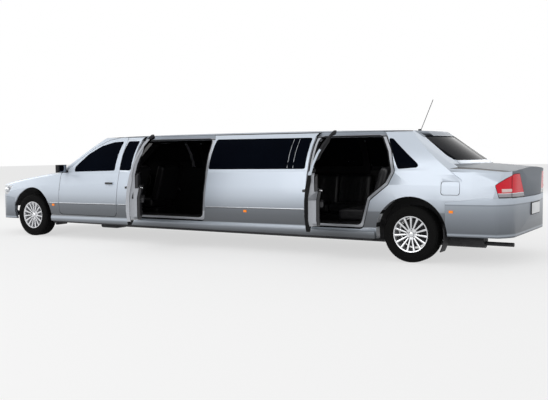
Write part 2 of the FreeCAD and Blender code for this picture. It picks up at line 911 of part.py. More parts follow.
def windscreen_region(grow=0.0):
    points = (
        (-screen_bow_y * 0.93 - grow, cowl_z * 1.012 - grow),
        (screen_bow_y * 0.93 + grow, cowl_z * 1.012 - grow),
        (roof_edge_y * 1.0 + grow, window_top_z * 1.0 + grow),
        (-roof_edge_y * 1.0 - grow, window_top_z * 1.0 + grow),
    )
    rear = screen_foot_x - screen_run * 1.4
    return end_prism(points, rear, screen_foot_x + overrun, window_corner_radius * 2)


def backlight_region(grow=0.0):
    points = (
        (-backlight_bow_y * 0.92 - grow, boot_deck_z * 1.012 - grow),
        (backlight_bow_y * 0.92 + grow, boot_deck_z * 1.012 - grow),
        (roof_edge_y * 0.97 + grow, window_top_z + grow),
        (-roof_edge_y * 0.97 - grow, window_top_z + grow),
    )
    return end_prism(points, backlight_foot_x + backlight_run * 1.3, backlight_foot_x - overrun,
                     window_corner_radius * 2)


def roof_region(grow=0.0):
    half = roof_half_width + grow
    return box((screen_foot_x, backlight_foot_x), (-half, half), (roof_split_z - grow, roof_top_z + overrun))


def side_region(side):
    return box((nose_x + overrun, tail_x - overrun), (0, side * (half_width + overrun)),
               (-overrun, roof_top_z + overrun))


class Body:
    """The car's volumes, made once. Each inner volume is what a wall of that depth leaves free."""

    def __init__(self):
        self.outer = body_volume(0.0, 0.0, FINE)
        self.skin_inner = body_volume(skin, skin)
        self.lip_inner = body_volume(door_lip, door_lip_cabin)
        self.rebate_inner = body_volume(rebate, rebate_cabin)
        self.side_inner = body_volume(side_wall, pillar_depth)
        self.skin_shell = self.outer.cut(self.skin_inner)
        self.lip_shell = self.outer.cut(self.lip_inner)
        self.side_shell = self.outer.cut(self.side_inner)
        self.door_shell = self.outer.cut(body_volume(door_depth, door_depth_cabin))
        self.glass_shell = cabin_volume(pane_setback, FINE).cut(cabin_volume(pane_setback + pane, FINE))
        self.arches = arch_cutters()

    def surface_at(self, x, z):
        """How far out the left side's skin is at a place in the side view."""
        ray = Part.makeLine(V(x, half_width + overrun, z), V(x, half_width / 2, z))
        return self.outer.common(ray).BoundBox.YMax


def largest(shape, count=1):
    """The largest solids of a cut, without slivers."""
    return sorted(shape.Solids, key=lambda s: s.Volume)[-count:]


def trimmed(shape, cutters):
    """The largest solid that the cutters leave."""
    for cutter in cutters:
        shape = shape.cut(cutter)
    return largest(shape)[0]


def compound(solids):
    return solids[0] if len(solids) == 1 else Part.makeCompound(solids)


def pair(solid):
    """A left-hand piece with its mirror image."""
    return Part.makeCompound([solid, mirrored(solid)])


# Doors

def hinge_sector(hinge_x, radius_in, radius_out, degs, half_height):
    """Sectors of a ring about a left door's hinge axis, at each hinge height."""
    centre = V(hinge_x, half_width + hinge_proud, 0)

    def at(radius, deg):
        turn = math.radians(deg)
        return centre + V(math.cos(turn), math.sin(turn), 0) * radius

    start, end = degs
    middle = (start + end) / 2
    edges = [
        arc(at(radius_out, start), at(radius_out, middle), at(radius_out, end)),
        Part.makeLine(at(radius_out, end), at(radius_in, end)),
        arc(at(radius_in, end), at(radius_in, middle), at(radius_in, start)),
        Part.makeLine(at(radius_in, start), at(radius_out, start)),
    ]
    sectors = []
    for z in hinge_heights:
        wire = Part.Wire(edges)
        wire.translate(V(0, 0, z - half_height))
        sectors.append(solid_of(wire, V(0, 0, 2 * half_height)))
    return sectors


def swing(shape, side, hinge_x, degrees):
    """Turns a door about its upright hinge; positive degrees open it."""
    turned_shape = shape.copy()
    turned_shape.rotate(V(hinge_x, side * (half_width + hinge_proud), 0), Z_AXIS, -side * degrees)
    return turned_shape


def door_handle(body, edge_x):
    """Pull bar near the rear edge of a door, on two feet that stand on the skin."""
    low_x = edge_x + handle_inset
    high_x = low_x + handle_length
    skin_y = body.surface_at((low_x + high_x) / 2, handle_z)
    root_y, palm_y = skin_y - skin / 2, skin_y + handle_proud * 0.5
    front_y, end_y = skin_y + handle_proud, skin_y + handle_proud * 0.6
    foot = handle_length * 0.16
    outline = ((low_x, root_y), (low_x, end_y), (low_x + foot, front_y), (high_x - foot, front_y),
               (high_x, end_y), (high_x, root_y), (high_x - foot, root_y), (high_x - foot * 1.2, palm_y),
               (low_x + foot * 1.2, palm_y), (low_x + foot, root_y))
    return plan_prism(outline, handle_z - handle_height / 2, handle_z + handle_height / 2)


def build_doors(body, parts):
    for kind, (door_points, window_points, hinge_x, handle_edge_x) in DOORS.items():
        outline = door_points()
        plug = drafted_prism(outline, jamb_width + plug_gap)
        window = side_window_prism(window_points())
        leaf = body.door_shell.common(drafted_prism(outline))
        leaf = trimmed(leaf, [body.lip_inner.cut(plug), window, roof_region(door_gap),
                              windscreen_region(door_gap)])
        arms = hinge_sector(hinge_x, hinge_arm_in, hinge_arm_out, hinge_arm_degs, hinge_half_height)
        leaf = largest(leaf.fuse(arms + [door_handle(body, handle_edge_x)]))[0]
        glass = largest(body.glass_shell.common(side_window_prism(window_points(), -fit_clearance)))[0]
        for side, word in ((LEFT, "left"), (RIGHT, "right")):
            name = word + "_" + kind
            opened = OPEN_DEG.get(name, 0.0)
            parts[name] = swing(sided(leaf, side), side, hinge_x, opened)
            parts[name + "_glass"] = swing(sided(glass, side), side, hinge_x, opened)
            if kind == "front_door":
                mirror = trimmed(sided(mirror_head(), side), [body.outer])
                parts[word + "_mirror"] = mirror


def mirror_head():
    """Left door mirror: a rounded head on a short arm that grows out of the door."""
    out_y = half_width + mirror_reach
    in_y = out_y - mirror_span
    back_x = mirror_x - mirror_depth * 0.5
    high_z = mirror_low_z + mirror_height
    head = plan_prism(((mirror_x + mirror_depth * 0.4, in_y), (back_x, in_y), (back_x, out_y),
                       (mirror_x + mirror_depth * 0.25, out_y)), mirror_low_z, high_z, mirror_depth * 0.24)
    root_y, neck_y = half_width * 0.86, out_y - mirror_span * 0.6
    points = ((root_y, mirror_low_z - mirror_height * 0.10), (neck_y, mirror_low_z),
              (neck_y, mirror_low_z + mirror_height * 0.3), (root_y, mirror_low_z + mirror_height * 0.22))
    arm = end_prism(points, mirror_x - mirror_depth * 0.3, mirror_x + mirror_depth * 0.3)
    return fused([head, arm])


# Body shell

def build_sides(body, parts):
    """Side frames with pillars, jambs, sills, the long fixed panel and the rear quarter."""
    fender_skin = fender_region(fixed_gap).cut(body.skin_inner)
    ahead = box((fender_rear_x + post_length, nose_x + overrun), (0, half_width + overrun),
                (0, roof_top_z + overrun))
    cutters = [roof_region(fixed_gap), bonnet_region(panel_gap), boot_region(panel_gap), body.arches,
               windscreen_region(), backlight_region(), front_bumper_region(fixed_gap),
               rear_bumper_region(fixed_gap), tail_lamp_region(fixed_gap), cowl_region(fixed_gap),
               fender_skin, ahead]
    for door_points, window_points, hinge_x, handle_edge_x in DOORS.values():
        cutters.append(drafted_prism(door_points(), -door_gap).cut(body.rebate_inner))
        cutters.append(drafted_prism(door_points(), jamb_width))
        cutters += hinge_sector(hinge_x, hinge_arm_in - hinge_slot_play, hinge_arm_out + hinge_slot_play,
                                hinge_slot_degs, hinge_half_height + fit_clearance)
    cutters += [side_window_prism(points()) for points in FIXED_WINDOWS]
    arm, slot, pin = boot_hinge()
    frame = trimmed(body.side_shell.common(side_region(LEFT)), cutters + [slot])
    skirt = side_skirt(rear_axle_x + arch_radius + skirt_proud / 4, fender_rear_x - fixed_gap)
    frame = largest(frame.fuse([pin, skirt]))[0]
    parts["right_side_frame"] = mirrored(frame)
    parts["left_side_frame"] = trimmed(frame, [fuel_flap_region(panel_gap, flap_pocket_y)])
    parts["fuel_flap"] = largest(body.skin_shell.common(fuel_flap_region(0.0, flap_pocket_y)))[0]


def side_skirt(x_from, x_to):
    """Left lip that stands proud of the sill."""
    foot = half_width - sill_tuck
    points = ((foot - skin, sill_bottom_z), (foot + skirt_proud * 0.72, sill_bottom_z),
              (foot + skirt_proud * 0.9, sill_bottom_z + skirt_height * 0.13),
              (foot + skirt_proud, sill_bottom_z + skirt_height * 0.68),
              (foot + skirt_proud * 0.8, sill_bottom_z + skirt_height * 0.83),
              (foot + skirt_proud * 0.33, sill_bottom_z + skirt_height),
              (foot - skin, sill_bottom_z + skirt_height))
    return end_prism(points, x_from, x_to)


def lid_hinge(x, y, z, arm_points, slot_points):
    """Arm of a lid, the slot that it turns in and the pin through its eye, on the left."""
    half = lug_thickness / 2
    start, end = V(x, y - half * 2, z), V(x, y + half * 2, z)
    arm = side_prism(arm_points, y - half, y + half)
    slot = side_prism(slot_points, y - half - lug_play, y + half + lug_play)
    bore = cylinder(hinge_pin_radius + fit_clearance / 6, start, end)
    return arm.cut(bore), slot, cylinder(hinge_pin_radius, start, end)


def bonnet_hinge():
    x, z, eye = bonnet_hinge_x, bonnet_hinge_z, hinge_pin_radius * 2.2
    arm = corners_of((x - eye, x + bonnet_lug_reach), (z - eye * 0.8, z + eye * 0.7))
    slot = corners_of((x - eye * 1.7, x + bonnet_lug_reach), (z - eye * 2, z + overrun / 4))
    return lid_hinge(x, bonnet_hinge_y, z, arm, slot)


def boot_hinge():
    """The arm drops behind its eye and runs back under the lid."""
    x, z, eye = boot_hinge_x, boot_hinge_z, hinge_pin_radius * 2.2
    low, high = z - boot_arm_drop, z - boot_arm_drop + boot_arm_height
    knee, end = x - boot_arm_reach / 2, x - boot_arm_reach
    arm = ((x + eye, z - eye), (x + eye, z + eye), (x - eye, z + eye), (knee + eye / 2, high), (end, high),
           (end, low), (knee - eye / 2, low), (x - eye, z - eye))
    slot = corners_of((knee - eye * 1.2, x + eye * 2), (low - eye / 2, z + overrun / 4))
    return lid_hinge(x, boot_hinge_y, z, arm, slot)


def fuel_flap_region(grow, y_from):
    points = ((flap_front_x + grow, flap_low_z - grow), (flap_front_x + grow, flap_high_z + grow),
              (flap_rear_x - grow, flap_high_z + grow), (flap_rear_x - grow, flap_low_z - grow))
    return side_prism(points, y_from, half_width + overrun, flap_corner_radius)


def cowl_region(grow=0.0):
    half = bonnet_half_rear - fixed_gap + grow
    return box((front_door_front_x - overrun, nose_x - front_overhang * 0.5), (-half, half),
               (widest_z, cowl_z * 1.012 + grow))


def fender_region(grow=0.0):
    return box((fender_rear_x - grow, nose_x + overrun), (-half_width - overrun, half_width + overrun),
               (0, cowl_z * 1.0 + grow))


def build_fenders(body, parts):
    shell = body.skin_shell.common(fender_region()).common(side_region(LEFT))
    inside = box((tail_x, nose_x), (0, bonnet_half_front), (0, roof_top_z))
    fender = trimmed(shell, [windscreen_region(fixed_gap), drafted_prism(front_door_points(), -door_gap),
                             bonnet_region(panel_gap), front_bumper_region(fixed_gap),
                             cowl_region(fixed_gap), body.arches, headlamp_region(fixed_gap),
                             grille_region(fixed_gap), inside])
    skirt = side_skirt(fender_rear_x, front_axle_x - arch_radius - skirt_proud / 4).cut(body.skin_inner)
    parts["fenders"] = pair(largest(fender.fuse(skirt))[0])


def build_bonnet(body, parts):
    shell = body.skin_shell.common(bonnet_region())
    lamp = headlamp_region(panel_gap)
    bonnet = trimmed(shell, [lamp, mirrored(lamp), grille_region(panel_gap)])
    arm = bonnet_hinge()[0]
    parts["bonnet"] = largest(bonnet.fuse([arm, mirrored(arm)]))[0]


def build_boot_lid(body, parts):
    lamp = tail_lamp_region(panel_gap)
    lid = trimmed(body.skin_shell.common(boot_region()), [lamp, mirrored(lamp)])
    arm = boot_hinge()[0]
    parts["boot_lid"] = largest(lid.fuse([arm, mirrored(arm)]))[0]


def build_cowl(body, parts):
    """Panel under the windscreen, cleared where the bonnet's arms and rear corners turn."""
    shell = body.side_shell.common(cowl_region())
    arm, slot, pin = bonnet_hinge()
    door = drafted_prism(front_door_points(), -door_gap)
    sweep_y = bonnet_hinge_y + lug_thickness + fit_clearance
    sweep = rod(bonnet_corner_sweep, V(bonnet_hinge_x, sweep_y, bonnet_hinge_z),
                V(bonnet_hinge_x, bonnet_half_rear + panel_gap, bonnet_hinge_z), pipe_sides)
    lid_space = bonnet_region(panel_gap + lug_play * 3)
    cowl = trimmed(shell, [lid_space, windscreen_region(), roof_region(fixed_gap), door, mirrored(door),
                           slot, mirrored(slot), sweep, mirrored(sweep)])
    parts["cowl"] = largest(cowl.fuse([pin, mirrored(pin)]))[0]


def build_roof(body, parts):
    shell = body.side_shell.common(roof_region())
    parts["roof"] = trimmed(shell, [windscreen_region(), backlight_region()])


def build_bumpers(body, parts):
    mouth_half = half_width * 0.5
    mouth = end_prism(((-mouth_half, sill_bottom_z * 1.3), (mouth_half, sill_bottom_z * 1.3),
                       (mouth_half * 0.94, widest_z * 0.78), (-mouth_half * 0.94, widest_z * 0.78)),
                      nose_x - front_overhang * 0.4, nose_x + overrun, panel_gap * 5)
    front = body.lip_shell.common(front_bumper_region())
    parts["front_bumper"] = trimmed(front, [body.arches, mouth])
    rear = body.lip_shell.common(rear_bumper_region())
    below = box((tail_x - overrun, rear_axle_x), (-half_width - overrun, half_width + overrun),
                (0, rear_bumper_low_z))
    parts["rear_bumper"] = trimmed(rear, [body.arches, below])


def build_lamps(body, parts):
    parts["headlamps"] = pair(trimmed(body.side_shell.common(headlamp_region()), [bonnet_region(panel_gap)]))
    parts["tail_lamps"] = pair(largest(body.side_shell.common(tail_lamp_region()))[0])
    grille = trimmed(body.lip_shell.common(grille_region()), [bonnet_region(panel_gap)])
    low = grille.BoundBox.ZMin + grille_border * 0.5
    pitch = (grille.BoundBox.ZMax - grille_border * 0.5 - low) / grille_bars
    slots = []
    for i in range(grille_bars):
        height = (low + pitch * (i + 0.2), low + pitch * (i + 0.8))
        for side in SIDES:
            width = (side * grille_border / 2, side * (grille_half - grille_border))
            slots.append(box((nose_x - overrun, nose_x + overrun), width, height))
    parts["grille"] = trimmed(grille, slots)


def build_glass(body, parts):
    parts["windscreen"] = largest(body.glass_shell.common(windscreen_region(-fit_clearance)))[0]
    backlight = largest(body.glass_shell.common(backlight_region(-fit_clearance)))[0]
    panes = [largest(body.glass_shell.common(side_window_prism(points(), -fit_clearance)))[0]
             for points in FIXED_WINDOWS]
    parts["fixed_glass"] = compound([backlight] + panes + [mirrored(p) for p in panes])


# Floor, running gear and what the wheels hang from

def inner_slice(body, x_pair, z_pair):
    """What lies inside the side walls between two heights and two stations."""
    return body.side_inner.common(box(x_pair, (-half_width, half_width), z_pair))


def wheel_drums(radius, inner_y):
    """Cylinders that fill the wheel houses out from an inner plane, for both axles and sides."""
    drums = []
    for x, y in ((front_axle_x, inner_y[0]), (rear_axle_x, inner_y[1])):
        for side in SIDES:
            drums.append(sided(arch_drum(x, radius, y, half_width + overrun, drum_sides), side))
    return drums


def build_floor(body, parts):
    rear_x = rear_axle_x + arch_radius + heel_ahead
    pan = inner_slice(body, (rear_x, bulkhead_x + bulkhead_thickness), (floor_bottom_z, floor_top_z))
    tunnel = box((rear_x, bulkhead_x), (-tunnel_half, tunnel_half), (floor_bottom_z, tunnel_z))
    inside_half = tunnel_half - skin
    hollow = box((rear_x + skin, bulkhead_x - skin), (-inside_half, inside_half), (0, tunnel_z - skin))
    wall = inner_slice(body, (bulkhead_x, bulkhead_x + bulkhead_thickness), (floor_bottom_z, cowl_z))
    parts["floor_pan"] = largest(fused([pan, tunnel, wall]).cut(hollow))[0]
    boot = inner_slice(body, (tail_x + rear_overhang * 0.16, rear_x), (boot_floor_z, boot_floor_z + skin))
    heel = inner_slice(body, (rear_x - skin, rear_x), (floor_top_z, boot_floor_z + skin))
    wall = inner_slice(body, (boot_wall_x, boot_wall_x + skin), (boot_floor_z, belt_z))
    shelf_x = backlight_foot_x + backlight_bow * 1.6
    shelf = inner_slice(body, (shelf_x, boot_wall_x + skin), (belt_z - skin, belt_z))
    drums = wheel_drums(arch_radius + housing_gap + housing_wall, housing_inner_y)
    shaped = fused([boot, heel, wall, shelf])
    for drum in drums:
        shaped = shaped.cut(drum)
    parts["boot_floor"] = largest(shaped)[0]


def build_housings(body, parts):
    """Wheel houses: half drums with inner walls, open below the axle."""
    outer = wheel_drums(arch_radius + housing_gap + housing_wall, housing_inner_y)
    inner = wheel_drums(arch_radius + housing_gap, [y + housing_wall for y in housing_inner_y])
    above = box((nose_x, tail_x), (-half_width, half_width), (housing_low_z, roof_top_z))
    houses = []
    for full, void in zip(outer, inner):
        front = full.BoundBox.Center.x > 0
        limit = body.skin_inner if front else body.side_inner
        house = full.common(above).common(limit)
        cutters = [void, parts["front_bumper"]] if front else [void, parts["rear_bumper"]]
        cutters += [parts["floor_pan"], parts["cowl"], parts["left_side_frame"], parts["right_side_frame"]]
        houses.append(trimmed(house, cutters))
    parts["wheel_housings"] = compound(houses)


def build_wheels(parts):
    side_y = tyre_width / 2
    for corner, face in wheel_centres().items():
        side = LEFT if face.y > 0 else RIGHT
        middle_y = abs(face.y) - rim_width / 2
        centre = V(face.x, 0, face.z)
        bead = rim_radius - tyre_bead
        shoulder = tyre_radius - tyre_shoulder
        half = ((bead, side_y * 0.84), (bead + tyre_bulge, side_y), (shoulder, side_y * 0.88),
                (tyre_radius, side_y * 0.64))
        tyre = turned([(radius, middle_y - y) for radius, y in half]
                      + [(radius, middle_y + y) for radius, y in reversed(half)], centre, tyre_sides)
        parts[corner + "_tyre"] = sided(tyre, side)
        parts[corner + "_rim"] = sided(build_rim(centre, middle_y, bead), side)


def build_rim(centre, middle_y, bead):
    """Alloy wheel with thin spokes between its hub and its deep barrel."""
    outer = middle_y + rim_width / 2
    inner = middle_y - rim_width / 2
    wall = rim_wall
    seat = (bead - fit_clearance) * math.cos(math.pi / tyre_sides)
    barrel = turned([(seat, inner), (seat, outer), (seat - wall * 2, outer),
                     (seat - wall * 3, outer - wall * 2), (seat - wall * 3, inner)], centre, rim_sides)
    spoke_y = outer - wall * 3
    back_y = outer - hub_depth
    hub = turned([(0, back_y), (hub_radius * 1.9, back_y), (hub_radius * 1.9, spoke_y - wall),
                  (hub_radius * 1.5, outer - wall * 2), (0, outer - wall * 2)], centre, axle_sides)
    spoke_in, spoke_out = hub_radius * 1.2, seat - wall * 2.5
    half_in, half_out = wall * 0.62, wall * 0.95
    back = spoke_y - wall * 2
    bore = cylinder(spigot_radius + fit_clearance, V(centre.x, back_y, centre.z),
                    V(centre.x, back_y + spigot_length + fit_clearance, centre.z))
    solids = [barrel, hub.cut(bore)]
    for i in range(spoke_count):
        corners = [V(centre.x + x, back, centre.z + z) for x, z in (
            (-half_in, spoke_in), (half_in, spoke_in), (half_out, spoke_out), (-half_out, spoke_out))]
        spoke = solid_of(wire_of(corners), V(0, wall * 2, 0))
        spoke.rotate(centre, Y_AXIS, 360.0 * i / spoke_count)
        solids.append(spoke)
    return fused(solids)


def hub_back_y():
    return wheel_face_y - hub_depth - fit_clearance


def build_knuckles(parts):
    """Front stub axles with brake discs, uprights and steering arms."""
    for side, word in ((LEFT, "left"), (RIGHT, "right")):
        centre = V(front_axle_x, 0, tyre_radius)
        back_y = hub_back_y()
        disc_in, disc_out = back_y - brake_thickness * 1.4, back_y - brake_thickness * 0.4
        stub = turned([(0, steer_axis_y), (axle_radius, steer_axis_y), (axle_radius, disc_in),
                       (brake_radius, disc_in), (brake_radius, disc_out), (hub_radius, disc_out),
                       (hub_radius, back_y), (spigot_radius, back_y),
                       (spigot_radius, back_y + spigot_length), (0, back_y + spigot_length)],
                      centre, axle_sides)
        upright = cylinder(upright_radius, V(front_axle_x, steer_axis_y, tyre_radius - upright_down),
                           V(front_axle_x, steer_axis_y, tyre_radius + upright_up))
        arm_y = (steer_axis_y - upright_radius / 2, steer_axis_y + upright_radius / 2)
        arm = box((front_axle_x - steering_arm, front_axle_x), arm_y,
                  (tyre_radius - upright_down * 0.55, tyre_radius - upright_down * 0.2))
        parts[word + "_knuckle"] = sided(largest(fused([stub, upright, arm]))[0], side)


def build_subframe(parts):
    """Front cross member with wishbones, on two rails from the bulkhead to the bumper."""
    beam_half = rail_y + rail_width / 2
    beam = box((front_axle_x - beam_length / 2, front_axle_x + beam_length / 2), (-beam_half, beam_half),
               (beam_low_z, beam_high_z))
    reach = steer_axis_y - upright_radius - fit_clearance
    solids = [beam]
    for side in SIDES:
        outer, root = side * reach, side * (rail_y - rail_width / 2)
        spread = beam_length * 0.75
        low = tyre_radius - upright_down + fit_clearance
        solids.append(plan_prism(((front_axle_x - spread, root), (front_axle_x + spread, root),
                                  (front_axle_x + upright_radius / 2, outer),
                                  (front_axle_x - upright_radius / 2, outer)), low, low + rail_width * 0.5))
        rail_low = sill_bottom_z + fixed_gap
        solids.append(box((bulkhead_x + bulkhead_thickness, nose_x - rail_end_gap), (root, side * beam_half),
                          (rail_low, rail_low + rail_height)))
    frame = fused(solids)
    parts["front_subframe"] = trimmed(frame, [parts["front_bumper"], parts["wheel_housings"]])


def build_rear_axle(parts):
    """Live axle with its differential casing, discs and trailing arms."""
    centre = V(rear_axle_x, 0, tyre_radius)
    back_y = hub_back_y()
    disc_in, disc_out = back_y - brake_thickness * 1.4, back_y - brake_thickness * 0.4
    left = [(casing_radius, casing_radius * 0.35), (casing_radius * 0.72, casing_radius * 0.9),
            (axle_tube, casing_radius * 1.4), (axle_tube, disc_in), (brake_radius, disc_in),
            (brake_radius, disc_out), (hub_radius, disc_out), (hub_radius, back_y), (spigot_radius, back_y),
            (spigot_radius, back_y + spigot_length), (0, back_y + spigot_length)]
    right = [(radius, -y) for radius, y in reversed(left)]
    axle = turned(right + left, centre, axle_sides)
    heel_x = rear_axle_x + arch_radius + heel_ahead - skin
    arms = [box((rear_axle_x, heel_x), (side * trailing_y, side * (trailing_y + rail_width)),
                (tyre_radius - rail_width / 3, tyre_radius + rail_width / 2)) for side in SIDES]
    parts["rear_axle"] = fused([axle] + arms)


def build_engine(parts):
    front = front_axle_x + engine_ahead
    parts["engine"] = box((front - engine_length, front), (-engine_width / 2, engine_width / 2),
                          (beam_high_z, beam_high_z + engine_height))


def build_exhaust(parts):
    """Pipe along the floor into a rear silencer, with a tail pipe and a hanger."""
    pipe_z = floor_bottom_z - pipe_radius
    silencer_rear_x = silencer_front_x - silencer_length
    tail_z = silencer_z - silencer_radius * 0.4
    pipe = rod(pipe_radius, V(pipe_front_x, pipe_y, pipe_z),
               V(silencer_front_x - pipe_radius, pipe_y, pipe_z), pipe_sides)
    silencer = rod(silencer_radius, V(silencer_front_x, silencer_y, silencer_z),
                   V(silencer_rear_x, silencer_y, silencer_z), tyre_sides // 2)
    tail = rod(pipe_radius * 0.8, V(silencer_rear_x + pipe_radius, silencer_y, tail_z),
               V(tail_x + rear_overhang * 0.09, silencer_y, tail_z), pipe_sides)
    middle_x = (silencer_front_x + silencer_rear_x) / 2
    hanger = box((middle_x - skin, middle_x), (silencer_y - skin, silencer_y + skin),
                 (silencer_z, boot_floor_z))
    parts["exhaust"] = fused([pipe, silencer, tail, hanger])


# Cabin

def seat_profile(x, length, cushion_z, back_z):
    """Side profile of a seat with its front edge ahead and a raked back."""
    return ((x + length, floor_top_z), (x + length, cushion_z), (x + seat_rake, cushion_z - skin * 2),
            (x - seat_rake, back_z), (x - seat_rake * 2.1, back_z - skin),
            (x - seat_rake * 0.7, cushion_z - skin * 4),
            (x - seat_rake * 0.7, floor_top_z))


def build_seats(parts):
    profile = seat_profile(front_seat_x, seat_length, cushion_z, seat_back_z)
    front = [side_prism(profile, side * front_seat_y - seat_width / 2, side * front_seat_y + seat_width / 2)
             for side in SIDES]
    parts["front_seats"] = compound(front)
    profile = seat_profile(rear_seat_x, seat_length, cushion_z, seat_back_z)
    rear = side_prism(profile, -rear_seat_half, rear_seat_half)
    parts["rear_seat"] = trimmed(rear, [parts["boot_floor"], parts["floor_pan"]])
    back_z = seat_back_z * 0.86
    points = ((-lounge_outer_y, floor_top_z), (-lounge_outer_y, back_z),
              (-lounge_outer_y + seat_rake, back_z), (-lounge_outer_y + seat_rake * 1.7, cushion_z - skin),
              (-lounge_inner_y, cushion_z), (-lounge_inner_y, floor_top_z))
    parts["lounge_seat"] = end_prism(points, lounge_rear_x, lounge_front_x)


def build_dashboard(body, parts):
    """Dashboard across the cabin in side profile, with the steering column's shroud."""
    half = half_width - door_depth - skin * 4.5
    back = bulkhead_x - dash_depth
    dash = side_prism(((back + skin * 2, dash_low_z), (bulkhead_x, dash_low_z), (bulkhead_x, dash_top_z),
                       (bulkhead_x + dash_depth * 0.7, dash_top_z + skin),
                       (bulkhead_x + dash_depth * 0.6, dash_top_z + skin * 3),
                       (back + skin * 3, dash_top_z + skin * 2), (back, dash_top_z - skin * 2)), -half, half)
    shroud = rod(shroud_radius, column_hub() - column_way() * (grip_radius + fit_clearance),
                 column_hub() - column_way() * (dash_depth * 0.5), pipe_sides)
    dash = dash.common(body.side_inner)
    parts["dashboard"] = trimmed(fused([dash, shroud]), [parts["cowl"], parts["floor_pan"], wheel_sweep()])


def column_hub():
    return V(steering_x, -front_seat_y, steering_z)


def column_way():
    """Unit vector along the steering column, up and back towards the driver."""
    turn = math.radians(column_deg)
    return V(-math.cos(turn), 0, math.sin(turn))


def tilted(solid):
    """Turns a lathe shape about the Y axis at the origin onto the steering column."""
    solid.rotate(V(0, 0, 0), X_AXIS, 90)
    solid.rotate(V(0, 0, 0), Y_AXIS, column_deg - 90)
    solid.translate(column_hub())
    return solid


def wheel_sweep():
    """The space that the steering wheel turns in."""
    high = grip_radius + panel_gap
    inner, outer = steering_radius - high * 2, steering_radius + high * 2
    section = [(inner, -high), (outer, -high), (outer, high), (inner, high)]
    ring = turned(section, V(0, 0, 0), tyre_sides // 2)
    return tilted(ring)


def build_steering_wheel(parts):
    grip = []
    for i in range(grip_sides):
        angle = 2 * math.pi * i / grip_sides
        grip.append((steering_radius + grip_radius * math.cos(angle), grip_radius * math.sin(angle)))
    rim = turned(grip, V(0, 0, 0), tyre_sides // 2)
    boss = turned([(0, -grip_radius), (boss_radius, -grip_radius), (boss_radius * 0.8, grip_radius),
                   (0, grip_radius)], V(0, 0, 0), axle_sides)
    half = spoke_width / 2
    bars = [box((-steering_radius, steering_radius), (-half / 3, half / 3), (-half, half)),
            box((-half, half), (-half / 3, half / 3), (-steering_radius, 0))]
    parts["steering_wheel"] = tilted(fused([rim, boss] + bars))


def build_small(body, parts):
    """Side marker lamps that stand on the skin, and the roof aerial."""
    markers = []
    for x, z in ((front_axle_x - arch_radius * 1.16, front_marker_z), (middle_marker_x, middle_marker_z),
                 (rear_axle_x - arch_radius * 1.12, rear_marker_z)):
        out_y = body.surface_at(x, z) + marker_proud
        block = box((x - marker_length / 2, x + marker_length / 2), (out_y - skin, out_y),
                    (z - marker_height / 2, z + marker_height / 2))
        marker = largest(block.cut(body.outer))[0]
        markers += [marker, mirrored(marker)]
    parts["side_markers"] = compound(markers)
    base = V(aerial_x, 0, roof_top_z - roof_rear_drop * 1.4)
    mast = rod(aerial_radius, base, base + V(-aerial_height * 0.42, 0, aerial_height), pipe_sides // 2)
    foot = rod(aerial_radius * 5, base, base + V(0, 0, roof_rear_drop * 1.3), pipe_sides)
    parts["aerial"] = trimmed(fused([mast, foot]), [body.outer])


def main():
    body = Body()
    parts = {}
    build_doors(body, parts)
    build_sides(body, parts)
    build_fenders(body, parts)
    build_bonnet(body, parts)
    build_boot_lid(body, parts)
    build_roof(body, parts)
    build_bumpers(body, parts)
    build_lamps(body, parts)
    build_glass(body, parts)
    build_cowl(body, parts)
    build_floor(body, parts)
    build_housings(body, parts)
    build_wheels(parts)
    build_knuckles(parts)
    build_subframe(parts)
    build_rear_axle(parts)
    build_engine(parts)
    build_exhaust(parts)
    build_seats(parts)
    build_dashboard(body, parts)
    build_steering_wheel(parts)
    build_small(body, parts)
    os.makedirs("parts", exist_ok=True)
    for name, shape in parts.items():
        shape.exportStep("parts/" + name + ".step")


main()
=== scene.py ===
import bpy
import bmesh
import json
import math
from mathutils import Matrix, Vector
from mathutils.bvhtree import BVHTree


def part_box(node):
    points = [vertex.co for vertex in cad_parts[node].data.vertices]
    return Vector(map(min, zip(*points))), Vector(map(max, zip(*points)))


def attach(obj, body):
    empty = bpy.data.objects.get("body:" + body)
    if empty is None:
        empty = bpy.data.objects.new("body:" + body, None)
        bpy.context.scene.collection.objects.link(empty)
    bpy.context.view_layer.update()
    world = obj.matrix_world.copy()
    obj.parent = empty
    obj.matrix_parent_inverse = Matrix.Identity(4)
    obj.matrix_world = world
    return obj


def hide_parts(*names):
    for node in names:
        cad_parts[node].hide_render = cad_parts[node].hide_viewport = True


# Stretch limousine in light silver, two left passenger doors open. Metres, +X forward, +Z up.

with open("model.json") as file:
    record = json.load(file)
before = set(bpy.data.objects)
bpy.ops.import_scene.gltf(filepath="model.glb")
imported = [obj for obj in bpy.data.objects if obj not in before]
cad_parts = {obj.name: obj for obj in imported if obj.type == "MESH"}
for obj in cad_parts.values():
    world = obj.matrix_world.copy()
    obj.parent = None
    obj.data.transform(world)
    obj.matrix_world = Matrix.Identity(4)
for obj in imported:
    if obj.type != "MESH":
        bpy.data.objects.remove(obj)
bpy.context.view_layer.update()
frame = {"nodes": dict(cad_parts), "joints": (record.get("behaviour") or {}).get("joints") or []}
nodes = frame["nodes"]

LEFT = 1
RIGHT = -1
SIDES = ((LEFT, "left"), (RIGHT, "right"))
DOOR_KINDS = ("front_door", "limo_door", "rear_door")
CORNERS = ("front_left", "front_right", "rear_left", "rear_right")
X_AXIS = Vector((1, 0, 0))
Y_AXIS = Vector((0, 1, 0))
Z_AXIS = Vector((0, 0, 1))
ORIGIN = Vector((0, 0, 0))

